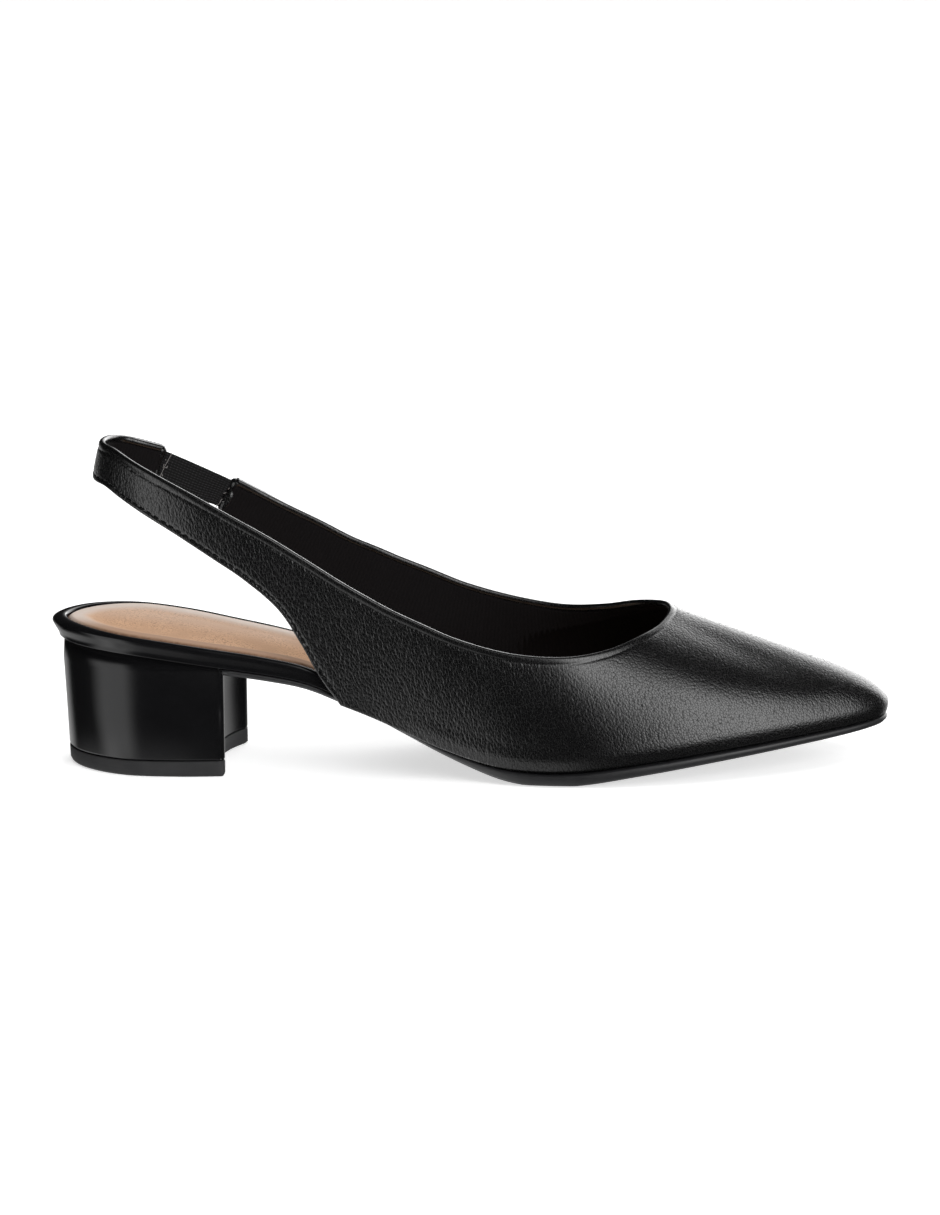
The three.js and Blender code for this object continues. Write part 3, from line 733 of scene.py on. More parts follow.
@dataclass(frozen=True)
class Finish:
    """What every finish has: a name, the plain values of its shader and how far they change.

    Fields:
        bump: Depth of the relief, in millimetres.
        slow: Size of the slow unevenness, in millimetres.
        fast: Size of the fast unevenness, in millimetres.
        dark: Shade of the colour where it is darkest.
        light: Shade of the colour where it is lightest.
        less: How far the roughness starts below its plain value.
        swing: How far the roughness rises from there.
    """

    name: str
    color: tuple[float, float, float]
    roughness: float
    coat: float = 0.0
    coat_roughness: float = 0.1
    specular: float = 0.5
    bump: float = 0.0
    slow: float = 12.0
    fast: float = 0.6
    dark: float = 0.8
    light: float = 1.2
    less: float = 0.05
    swing: float = 0.1

    def material(self) -> bpy.types.Material:
        """Builds the material once and gives it.

        Returns:
            The material.
        """
        if self.name in bpy.data.materials:
            return bpy.data.materials[self.name]
        made = bpy.data.materials.new(self.name)
        made.use_nodes = True
        made.diffuse_color = (*self.color, 1.0)
        shader = made.node_tree.nodes["Principled BSDF"]
        plain = {
            "Base Color": (*self.color, 1.0),
            "Roughness": self.roughness,
            "Coat Weight": self.coat,
            "Coat Roughness": self.coat_roughness,
            "Specular IOR Level": self.specular,
        }
        for label, value in plain.items():
            shader.inputs[label].default_value = value
        self.dress(Tree(made.node_tree), shader)
        return made

    def dress(self, tree: Tree, shader: bpy.types.Node) -> None:
        """Adds what changes over the surface."""

    def uneven(self, tree: Tree, slow: float, fast: float) -> Any:
        """Places the shared unevenness and gives its outputs."""
        sizes = {"Vector": tree.object_place(), "Slow": slow, "Fast": fast}
        return tree.add("Group", sizes, node_tree=wear_group()).outputs

    def lift(self, tree: Tree, shader: bpy.types.Node, height: Socket) -> None:
        """Turns a height from 0 to 1 into bump as deep as the finish says."""
        bump = tree.add("Bump", {"Height": height, "Distance": self.bump * METRE, "Strength": 1.0})
        tree.link(bump.outputs[0], shader.inputs["Normal"])

    def shade(self, factor: float) -> tuple[float, float, float, float]:
        """The finish's colour made lighter or darker."""
        return (*(channel * factor for channel in self.color), 1.0)

    def tone(self, tree: Tree, shader: bpy.types.Node, share: Socket) -> None:
        """Shades the colour from dark to light by a share."""
        tree.link(tree.mix(share, self.shade(self.dark), self.shade(self.light)), shader.inputs["Base Color"])

    def roughen(self, tree: Tree, shader: bpy.types.Node, share: Socket) -> None:
        """Changes the roughness by a share."""
        rough = tree.math("MULTIPLY_ADD", share, self.swing, self.roughness - self.less)
        tree.link(rough, shader.inputs["Roughness"])


@dataclass(frozen=True)
class Leather(Finish):
    """Semi-matte leather with a pebbled grain that is drawn tall at the quarters and round at the toe.

    Fields:
        cell: Width of a cell of the grain, in millimetres.
        tall: How tall the cells are at the quarters, for their width.
        round: How tall they are at the toe.
        tall_until: Place along the shoe where they start to grow round, in metres.
        round_from: Place where they are round.
        edge_grain: Share of the relief that is left on the rolled edge.
        edge_until: Distance from the topline up to which there is no more than that, in millimetres.
        full_from: Distance from the topline at which the relief is whole.
        flat: Share of the relief that is left at the toe.
        flat_from: Place along the shoe where it starts to flatten, in metres.
        flat_until: Place where it is flattest.
        crease_rough: How much rougher the creases are.
        slow_rough: How far the slow unevenness changes the roughness.
    """

    slow: float = 16.0
    fast: float = 0.5
    # Painted shade and light of the grain: the creases darken to dark and the cell tops lighten to light.
    dark: float = 0.1
    light: float = 1.6
    cell: float = 0.72
    tall: float = 1.8
    round: float = 1.15
    tall_until: float = 0.0
    round_from: float = 0.06
    edge_grain: float = 0.12
    edge_until: float = 0.8
    full_from: float = 3.2
    flat: float = 0.6
    flat_from: float = -0.03
    flat_until: float = 0.05
    crease_rough: float = 0.35
    slow_rough: float = 0.12

    def dress(self, tree: Tree, shader: bpy.types.Node) -> None:
        """Adds grain, creases with painted shade in them, and a smoother rolled edge.

        Args:
            tree: The material's nodes.
            shader: Its shader.
        """
        place = tree.object_place()
        sizes = {"Vector": place, "Cell": self.cell}
        tall, even = (
            tree.add("Group", {**sizes, "Stretch": stretch}, node_tree=pebble_group()).outputs
            for stretch in (self.tall, self.round)
        )
        uneven = self.uneven(tree, self.slow, self.fast)
        along = tree.add("SeparateXYZ", {0: place}).outputs[0]
        share = tree.ramp(along, self.tall_until, self.round_from)
        height = tree.mix(share, tall["Height"], even["Height"])
        crease = tree.mix(share, tall["Crease"], even["Crease"])
        drop = tree.add("Attribute", attribute_name="drop").outputs["Fac"]
        grain = tree.ramp(drop, self.edge_until, self.full_from, self.edge_grain, 1.0)
        drawn = tree.ramp(along, self.flat_from, self.flat_until, 1.0, self.flat)
        self.lift(tree, shader, tree.math("MULTIPLY", height, tree.math("MULTIPLY", grain, drawn)))
        # Painted shade: the colour darkens in the grain's creases and lightens on the cells.
        tone = tree.mix(crease, self.shade(self.light), self.shade(self.dark))
        tree.link(tone, shader.inputs["Base Color"])
        tree.link(tree.math("MULTIPLY_ADD", crease, -self.coat, self.coat), shader.inputs["Coat Weight"])
        rough = tree.math("MULTIPLY_ADD", crease, self.crease_rough, self.roughness - self.less)
        patches = tree.math("MULTIPLY_ADD", uneven["Slow"], self.slow_rough, -self.slow_rough / 2)
        tree.link(tree.math("ADD", rough, patches), shader.inputs["Roughness"])


@dataclass(frozen=True)
class Gloss(Finish):
    """High-gloss wrap with a faint unevenness in its lie."""

    slow: float = 9.0
    fast: float = 0.7
    ripple: float = 0.12

    def dress(self, tree: Tree, shader: bpy.types.Node) -> None:
        """Adds slow waves and fine haze.

        Args:
            tree: The material's nodes.
            shader: Its shader.
        """
        uneven = self.uneven(tree, self.slow, self.fast)
        self.lift(tree, shader, tree.math("MULTIPLY_ADD", uneven["Fast"], self.ripple, uneven["Slow"]))
        self.roughen(tree, shader, uneven["Fast"])
        self.tone(tree, shader, uneven["Slow"])


@dataclass(frozen=True)
class Rubber(Finish):
    """Satin rubber with fine moulding marks."""

    slow: float = 7.0
    fast: float = 0.35
    dark: float = 0.75
    light: float = 1.3
    less: float = 0.1
    swing: float = 0.2

    def dress(self, tree: Tree, shader: bpy.types.Node) -> None:
        """Adds a fine tooth and patches of wear.

        Args:
            tree: The material's nodes.
            shader: Its shader.
        """
        uneven = self.uneven(tree, self.slow, self.fast)
        self.lift(tree, shader, uneven["Fast"])
        self.tone(tree, shader, uneven["Slow"])
        self.roughen(tree, shader, uneven["Slow"])


@dataclass(frozen=True)
class Sock(Finish):
    """Soft sock leather: a pink border, a tan speckled dish, painted shade along its edge and on its near
    side, and a painted highlight on its far side.

    Places across the shoe are in metres, and distances from the edge in millimetres.
    """

    slow: float = 14.0
    fast: float = 0.45
    dark: float = 0.62
    light: float = 1.08
    less: float = 0.12
    swing: float = 0.25
    speck_slow: float = 1.1
    speck_fast: float = 0.6
    speck_from: float = 0.52
    patch: float = 0.9
    border: tuple[float, float, float] = (0.6, 0.51, 0.45)
    # Painted shade: the border is darker on the near side.
    near_border_shade: tuple[float, float, float] = (0.36, 0.23, 0.155)
    # Colour of the painted shade in the recess along the sock's edge by the rim.
    edge: tuple[float, float, float] = (0.12, 0.06, 0.035)
    near_shade_until: tuple[float, float] = (-0.022, -0.006)
    # Painted highlight: the dish lightens towards the border's pink on the far side.
    far_highlight_from: tuple[float, float] = (-0.012, 0.008)
    far_highlight_share: float = 0.3
    dish_from: tuple[float, float] = (5.2, 9.5)
    dish_wander: float = 2.5
    # How far the painted shade along the edge reaches, further on the near side.
    edge_shade_until: tuple[float, float] = (1.9, 1.3)
    edge_shade_wander: float = 0.8

    def dress(self, tree: Tree, shader: bpy.types.Node) -> None:
        """Adds the border, speckles, painted shade along the edge and on the near side, and a painted
        highlight on the far side.

        Args:
            tree: The material's nodes.
            shader: Its shader.
        """
        inset = tree.add("Attribute", attribute_name="inset").outputs["Fac"]
        uneven = self.uneven(tree, self.slow, self.fast)
        speck = self.uneven(tree, self.speck_slow, self.speck_fast)
        dots = tree.ramp(speck["Fast"], self.speck_from, 0.6)
        centre = tree.mix(dots, self.shade(self.light), self.shade(self.dark))
        centre = tree.mix(tree.ramp(uneven["Slow"], 0.35, 0.7), centre, self.shade(self.patch))
        across = tree.add("SeparateXYZ", {0: tree.object_place()}).outputs[1]
        pink = (*self.border, 1.0)
        # Painted shade: the border darkens towards the near side.
        border = tree.mix(tree.ramp(across, *self.near_shade_until), (*self.near_border_shade, 1.0), pink)
        # Painted highlight: the dish lightens towards the pink on the far side.
        centre = tree.mix(tree.ramp(across, *self.far_highlight_from, 0.0, self.far_highlight_share), centre, pink)
        wandering = tree.math("MULTIPLY_ADD", uneven["Slow"], self.dish_wander, inset)
        inside = tree.ramp(wandering, *self.dish_from)
        # Painted shade along the edge by the rim, reaching further on the near side.
        reach = tree.ramp(across, -0.024, -0.014, *self.edge_shade_until)
        edge_shade = tree.ramp(tree.math("MULTIPLY_ADD", speck["Slow"], self.edge_shade_wander, inset), 0.5, reach)
        tone = tree.mix(edge_shade, (*self.edge, 1.0), tree.mix(inside, border, centre))
        tree.link(tone, shader.inputs["Base Color"])
        self.lift(tree, shader, tree.math("MULTIPLY_ADD", speck["Slow"], 0.6, speck["Fast"]))
        self.roughen(tree, shader, speck["Fast"])


@dataclass(frozen=True)
class Cloth(Finish):
    """Ribbed or knitted cloth on the piece's own cover map.

    Fields:
        rib: Pitch of the ribs, in millimetres.
        thread: Pitch of the threads across them, in millimetres.
        loose: How far the ribs wander, in millimetres.
        valley_shade: How far the valleys turn dark, a painted shade.
        rib_highlight: Shade of the ribs' tops, a painted highlight.
        fluff: Shade of the fluff.
    """

    slow: float = 6.0
    fast: float = 0.4
    dark: float = 0.4
    light: float = 1.5
    rib: float = 1.0
    thread: float = 0.5
    loose: float = 0.3
    valley_shade: float = 0.5
    rib_highlight: float = 1.0
    fluff: float = 2.6

    def dress(self, tree: Tree, shader: bpy.types.Node) -> None:
        """Adds ribs, threads, fluff, painted shade in the valleys and a painted highlight on the ribs' tops.

        Args:
            tree: The material's nodes.
            shader: Its shader.
        """
        cover = tree.add("UVMap", uv_map="cover").outputs[0]
        sizes = {"Place": cover, "Rib": self.rib, "Thread": self.thread, "Loose": self.loose}
        ribs = tree.add("Group", sizes, node_tree=rib_group()).outputs
        uneven = self.uneven(tree, self.slow, self.fast)
        self.lift(tree, shader, tree.math("MULTIPLY_ADD", uneven["Fast"], 0.5, ribs["Height"]))
        # Painted shade: the colour darkens in the ribs' valleys.
        deep = tree.math("MULTIPLY", ribs["Valley"], self.valley_shade)
        tone = tree.mix(deep, self.shade(self.light), self.shade(self.dark))
        tone = tree.mix(tree.ramp(uneven["Fast"], 0.6, 0.75, 0.0, 0.5), tone, self.shade(self.fluff))
        # Painted highlight: the ribs' tops lighten.
        tone = tree.mix(tree.ramp(ribs["Height"], 0.72, 0.95), tone, self.shade(self.rib_highlight))
        tree.link(tone, shader.inputs["Base Color"])


@dataclass(frozen=True)
class Thread(Finish):
    """Waxed thread with twisted strands."""

    slow: float = 1.5
    fast: float = 0.2
    dark: float = 0.6
    light: float = 1.5

    def dress(self, tree: Tree, shader: bpy.types.Node) -> None:
        """Adds the strands' unevenness.

        Args:
            tree: The material's nodes.
            shader: Its shader.
        """
        uneven = self.uneven(tree, self.slow, self.fast)
        self.lift(tree, shader, uneven["Fast"])
        self.tone(tree, shader, uneven["Slow"])


VARNISH = {"coat": 0.12, "coat_roughness": 0.15}
GRAIN_LEATHER = Leather("grain_leather", (0.0021, 0.0021, 0.0022), 0.22, bump=0.085, **VARNISH)
LINING_RIBS = {"rib": 1.1, "thread": 0.45}
LINING_CLOTH = Cloth("lining_cloth", (0.0035, 0.0028, 0.003), 0.85, specular=0.12, bump=0.05, **LINING_RIBS)
KNIT_RIBS = {"rib": 0.85, "thread": 1.0, "valley_shade": 0.95, "rib_highlight": 5.5}
KNIT = Cloth("elastic_knit", (0.0045, 0.0045, 0.0048), 0.8, specular=0.2, bump=0.1, **KNIT_RIBS)
GLOSS_WRAP = Gloss("gloss_wrap", (0.0045, 0.0045, 0.005), 0.16, specular=0.3, bump=0.012)
SOLE_RUBBER = Rubber("sole_rubber", (0.014, 0.014, 0.015), 0.42, specular=0.4, bump=0.03)
LIFT_RUBBER = Rubber("lift_rubber", (0.03, 0.03, 0.031), 0.6, specular=0.12, bump=0.02)
SOCK = Sock("sock_leather", (0.55, 0.335, 0.205), 0.7, specular=0.1, bump=0.07)
STITCHING = Thread("stitching", (0.002, 0.002, 0.0022), 0.7, specular=0.15, bump=0.05)
FRAYED = Thread("frayed_thread", (0.2, 0.19, 0.185), 0.7, bump=0.03)


# The sole, the heel and the footbed


@dataclass
class Sole:
    """Outsole: a thin plate with a bevelled tread edge that ends at the heel's front face."""

    last: Last
    bevel: float = 1.3
    inset: float = 2.2
    lip: float = 0.9
    breast_row: float = 4.0
    hidden_rows: int = 5
    columns: int = 14
    steps: int = 10

    def edge(self) -> tuple[Stop, ...]:
        """The section of the sole's edge, from its top over the rounded lip to the bevelled tread."""
        return (
            Stop(-self.lip, Level.TOP, 0.0),
            Stop(-0.45, Level.TOP, -0.08),
            Stop(-0.15, Level.TOP, -0.25),
            Stop(0.0, Level.TOP, -0.6),
            Stop(0.0, Level.TREAD, self.bevel),
            Stop(-0.3 * self.inset, Level.TREAD, 0.45 * self.bevel),
            Stop(-self.inset, Level.TREAD, 0.0),
        )

    def build(self, heel: "Heel") -> bpy.types.Object:
        """Makes the outsole.

        Args:
            heel: The heel, whose front face the outsole meets.

        Returns:
            The outsole's object.
        """
        last = self.last
        margin = last.sole_margin(np.array([self.breast_row]))[0]
        outer_start, inner_start = heel.breast_ends(margin, heel.clearance)
        count = (last.tip - self.hidden_rows) * self.steps
        grow = np.linspace(0, 1, count)
        outer = outer_start + (last.tip - GRID_END - outer_start) * grow
        inner = inner_start + (last.tip + GRID_END - inner_start) * grow
        sides = []
        for index in (outer, inner):
            margin = last.sole_margin(index)
            line = []
            for stop in self.edge():
                plan = last.outline(index, margin + stop.out)
                height = last.sole_top if stop.level is Level.TOP else last.sole_tread
                plan[:, 2] = height(plan[:, 0]) + stop.rise
                line.append(plan)
            sides.append(line)
        share = np.linspace(0, 1, self.columns)[1:-1]
        below = [sides[0][-1] + (sides[1][-1] - sides[0][-1]) * part for part in share]
        above = [sides[1][0] + (sides[0][0] - sides[1][0]) * part for part in share]
        for row in below:
            row[:, 2] = last.sole_tread(row[:, 0])
        for row in above:
            row[:, 2] = last.sole_top(row[:, 0])
        rings = np.stack([*sides[0], *below, *reversed(sides[1]), *above], axis=1)
        rings[0] = heel.pull_to_breast(rings[0], heel.clearance)
        bm = Loft(rings).to_bmesh(last)
        return Piece("outsole_rubber", "outsole", SOLE_RUBBER, "outsole").add(bm)


@dataclass
class Heel:
    """Block heel with a hollow front face, and the lift under it.

    Fields:
        block_ends: Heights over the block's base, and how far the outline is drawn in at each.
        block_waist: The same at heights over the floor.
        seat_flare: How far the outline is drawn in under the seat.
        lift_base: Heights over the floor, and how far the lift's outline is drawn in at each.
        lift_top: The same for depths under the lift's top.
    """

    last: Last
    inset: float = 3.0
    taper: float = 1.6
    seat_centre: float = -0.135
    breast_half: float = 0.405
    breast_at: float = 54.8
    breast_skew: float = 4.3
    breast_hollow: float = 5.0
    breast_rim: float = 2.0
    lift: float = 5.0
    clearance: float = 0.3
    round_steps: int = 110
    breast_steps: int = 40
    ends_within: tuple[float, float] = (3.0, 6.0)
    ends_steps: int = 600
    corner: float = 1.6
    corner_room: float = 1.15
    corner_segments: int = 6
    least_turn: float = 0.6
    least_upright: float = 0.9
    block_ends: tuple[tuple[float, float], ...] = ((0.0, 0.5), (0.15, 0.15), (0.6, 0.0))
    block_waist: tuple[tuple[float, float], ...] = ((20.0, 0.0), (33.5, -0.1))
    seat_flare: float = -0.7
    lift_base: tuple[tuple[float, float], ...] = ((0.0, 1.1), (0.3, 0.4), (1.1, 0.0))
    lift_top: tuple[tuple[float, float], ...] = ((0.35, 0.0), (0.1, 0.1), (0.0, 0.4))

    def share_across(self, y: np.ndarray) -> np.ndarray:
        """Place across the front face, from -1 at its outer end to 1 at its inner end."""
        return (y / self.last.seat_width - self.seat_centre) / self.breast_half

    def breast_x(self, share: np.ndarray, ahead: float) -> np.ndarray:
        """Place of the front face along the shoe.

        Args:
            share: Places across the face, from -1 to 1.
            ahead: How far in front of the face the place lies.

        Returns:
            The place along the shoe at each share.
        """
        half = self.breast_half * self.last.seat_width
        in_hollow = np.minimum(np.abs(share) / (1 - self.breast_rim / half), 1)
        hollow = self.breast_hollow * (1 - in_hollow**2)
        return self.breast_at + self.breast_skew * (share + 1) / 2 - hollow + ahead

    def breast_ends(self, out: float, ahead: float) -> tuple[float, float]:
        """Places on the outline where the front face meets it.

        Args:
            out: The outline's margin.
            ahead: How far in front of the face the meeting lies.

        Returns:
            The outer and the inner place, counting the outline's rows.
        """
        last = self.last
        near, far = self.ends_within
        ends = []
        for low, high in ((near, far), (last.turn - far, last.turn - near)):
            index = np.linspace(low, high, self.ends_steps)
            plan = last.outline(index, out)
            away = np.abs(plan[:, 0] - self.breast_x(self.share_across(plan[:, 1]), ahead))
            ends.append(float(index[np.argmin(away)]))
        return ends[0], ends[1]

    def pull_to_breast(self, ring: np.ndarray, ahead: float) -> np.ndarray:
        """Moves a ring of points on to the front face, at the sole's own heights there.

        Args:
            ring: The points.
            ahead: How far in front of the face they come to lie.

        Returns:
            The moved points.
        """
        last = self.last
        moved = ring.copy()
        moved[:, 0] = self.breast_x(self.share_across(ring[:, 1]), ahead)
        moved[:, 2] += last.sole_top(moved[:, 0]) - last.sole_top(ring[:, 0])
        return moved

    def plan(self, z: np.ndarray | float) -> np.ndarray:
        """The heel's outline at a height.

        Args:
            z: The height over the floor.

        Returns:
            Points from the outer corner round the back and along the front face.
        """
        last = self.last
        outer, inner = self.breast_ends(-self.inset, 0.0)
        to_back = np.linspace(outer, 0, self.round_steps)
        from_back = np.linspace(last.turn, inner, self.round_steps)[1:]
        back = last.outline(np.concatenate([to_back, from_back]), -self.inset)
        first, final = self.share_across(back[-1, 1]), self.share_across(back[0, 1])
        share = np.linspace(first, final, self.breast_steps + 2)[1:-1]
        y = (share * self.breast_half + self.seat_centre) * last.seat_width
        front = np.stack([self.breast_x(share, 0.0), y, np.zeros_like(y)], axis=-1)
        ring = np.concatenate([back, front])
        ends = np.linalg.norm(ring[:, None] - back[None, [0, -1]], axis=-1).min(axis=1)
        ring = ring[(ends == 0) | (ends > self.corner_room * self.corner)]
        lean = self.taper * (1 - np.asarray(z) / last.sole_top(np.array(0.0)))
        ring[:, 0] += lean * np.maximum(1 - ring[:, 0] / self.breast_at, 0)
        return ring

    def column(self, heights: Sequence[tuple[Any, float]]) -> bmesh.types.BMesh:
        """A stack of the heel's outlines.

        Args:
            heights: For each outline its height, one value or None for the seat, and how far it is drawn in.

        Returns:
            The closed column.
        """
        rings = []
        for height, drawn in heights:
            ring = self.plan(self.lift if height is None else height)
            centre = ring.mean(axis=0)
            reach = np.linalg.norm(ring - centre, axis=1, keepdims=True)
            ring += (centre - ring) / reach * drawn
            ring[:, 2] = self.last.sole_top(ring[:, 0]) if height is None else height
            rings.append(ring)
        return Loft(np.stack(rings)).to_bmesh(self.last)

    def is_corner(self, edge: bmesh.types.BMEdge) -> bool:
        """Whether an edge is a sharp and upright one."""
        rise = abs((edge.verts[0].co - edge.verts[1].co).normalized().z)
        return edge.is_manifold and edge.calc_face_angle() > self.least_turn and rise > self.least_upright

    def soften(self, bm: bmesh.types.BMesh) -> None:
        """Rounds the upright corners at the ends of the front face.

        Args:
            bm: The mesh of the block or the lift.
        """
        upright = [edge for edge in bm.edges if self.is_corner(edge)]
        size = {"offset": self.corner * METRE, "segments": self.corner_segments, "profile": 0.5}
        bmesh.ops.bevel(bm, geom=upright, affect="EDGES", material=-1, **size)

    def build(self) -> None:
        """Makes the wrapped block and the lift."""
        base = self.lift + self.clearance
        ends = [(base + rise, drawn) for rise, drawn in self.block_ends]
        block = self.column([*ends, *self.block_waist, (None, self.seat_flare)])
        self.soften(block)
        Piece("heel_wrap", "heel", GLOSS_WRAP, "heel_block").add(block)
        top = [(self.lift - depth, drawn) for depth, drawn in self.lift_top]
        lift = self.column([*self.lift_base, *top])
        self.soften(lift)
        Piece("heel_lift_rubber", "lift", LIFT_RUBBER, "heel_lift").add(lift)


@dataclass
class Footbed:
    """Wrapped board with a rounded glossy rim, and the padded sock that lies in it.

    Fields:
        shoulder: Radius of the rim's outer shoulder.
        rim_width: Width of the rim's top along the sides.
        back_width: How much wider it is round the back.
        back_run: Place along the shoe up to which the back's width fades.
        rounding: Share of that extra width that rounds the shoulder.
        back_drop: How much deeper the shoulder falls round the back.
        back_lift: How much higher the rim stands round the back.
        under_roll: Height of the roll under the rim.
        recess: Depth of the sock's bed under the rim's top.
        sock_drop: Depth of the sock's outer edge under the rim.
        sock_climb: Rise from that edge to the border.
        dish: Depth of the dish inside the border.
        seat_dish: How much deeper it is under the heel of the foot.
    """

    last: Last
    shoulder: float = 1.3
    rim_width: float = 2.5
    back_width: float = 2.1
    back_run: float = 30.0
    rounding: float = 0.55
    back_drop: float = 0.3
    back_lift: float = 0.5
    flare: float = 2.2
    under_roll: float = 0.5
    recess: float = 1.6
    ring_steps: int = 9
    shoulder_steps: int = 7
    hidden: float = 7.0
    sock_gap: float = 0.25
    sock_thickness: float = 1.3
    sock_drop: float = 0.75
    sock_climb: float = 1.0
    dish: float = 0.45
    seat_dish: float = 0.35
    sock_columns: int = 66
    sock_steps: int = 10
    fence_steps: int = 900

    def rim_reach(self, index: np.ndarray) -> np.ndarray:
        """Width of the rim's top, which is widest round the back."""
        fade = ease(self.last.outline(index, 0.0)[:, 0], 0.0, self.back_run)
        return self.rim_width + self.back_width * (1 - fade)

    def rim(self) -> bpy.types.Object:
        """Makes the rim as one ring of the board's edge.

        Returns:
            The rim's object.
        """
        last = self.last
        index = np.arange(0, last.turn, 1 / self.ring_steps)
        wide = self.rim_reach(index)
        shoulder = self.shoulder + (wide - self.rim_width) * self.rounding
        back = (wide - self.rim_width) / self.back_width
        slant = -self.flare * last.profile("flare", last.outline(index, 0.0)[:, 0])
        hidden = np.full_like(slant, -self.hidden)
        stops = [
            Stop(hidden, Level.UNDER, 0.0),
            Stop(slant - 0.4, Level.UNDER, 0.0),
            Stop(slant - 0.05, Level.UNDER, 0.03),
            Stop(slant + 0.12, Level.UNDER, 0.2),
            Stop(slant + 0.05, Level.UNDER, 0.42),
        ]
        for part in (0.35, 0.7):
            stops.append(Stop(slant * (1 - part), Level.SIDE, part))
        for turn in np.radians(np.linspace(0, 90, self.shoulder_steps)):
            rise = (self.shoulder + self.back_drop * back) * (math.sin(turn) - 1) + self.back_lift * back
            stops.append(Stop(shoulder * (math.cos(turn) - 1), Level.RIM, rise))
        inner = wide - self.sock_gap
        stops += [
            Stop(-inner + 0.5, Level.RIM, self.back_lift * back - 0.04),
            Stop(-inner + 0.15, Level.RIM, self.back_lift * back - 0.2),
            Stop(-inner, Level.RIM, -0.5),
            Stop(-inner, Level.RIM, -self.recess),
            Stop(hidden, Level.RIM, -self.recess),
        ]
        columns = []
        for out, level, rise in stops:
            plan = last.outline(index, out)
            low = last.sole_top(plan[:, 0]) + last.clearance
            high = last.rim_top(plan[:, 0])
            side = high - self.shoulder - low - self.under_roll
            heights = {
                Level.UNDER: low + rise,
                Level.SIDE: low + self.under_roll + side * rise,
                Level.RIM: high + rise,
            }
            plan[:, 2] = heights[level]
            columns.append(plan)
        rings = np.stack(columns)
        bm = Loft(np.concatenate([rings, rings[:1]])).to_bmesh(last)
        return Piece("footbed_rim", "rim", GLOSS_WRAP, "platform").add(bm)

    def sock(self) -> bpy.types.Object:
        """Makes the padded sock with a raised border round a shallow dish.

        Returns:
            The sock's object.
        """
        last = self.last
        rows = last.tip * self.sock_steps
        outer_index = np.linspace(GRID_END, last.tip - GRID_END, rows)
        inner_index = last.turn - outer_index
        share = (1 - np.cos(np.linspace(0, math.pi, self.sock_columns))) / 2
        edge = -self.rim_reach(outer_index) - self.sock_gap
        outer, inner = last.outline(outer_index, edge), last.outline(inner_index, edge)
        top = outer[:, None] + (inner - outer)[:, None] * share[None, :, None]
        around = np.linspace(0, last.turn, self.fence_steps)
        fence = last.outline(around, -self.rim_reach(around) - self.sock_gap)[:, :2]
        inset = np.min(np.linalg.norm(top[:, :, None, :2] - fence[None, None], axis=-1), axis=-1)
        seat = 1 - ease(top[..., 0], 70.0, 120.0)
        border = self.sock_climb * ease(inset, -0.4, 1.5)
        relief = -self.sock_drop + border - (self.dish + self.seat_dish * seat) * ease(inset, 4.2, 9.0)
        top[..., 2] = last.rim_top(top[..., 0]) + relief
        bottom = top[:, ::-1][:, 1:-1].copy()
        bottom[..., 2] = last.rim_top(bottom[..., 0]) - self.sock_thickness
        rings = np.concatenate([top, bottom], axis=1)
        marks = np.concatenate([inset, inset[:, ::-1][:, 1:-1]], axis=1)
        bm = Loft(rings, marks={"inset": marks}).to_bmesh(last)
        return Piece("sock", "sock", SOCK, "insole", fill=0.3).add(bm)


# The upper


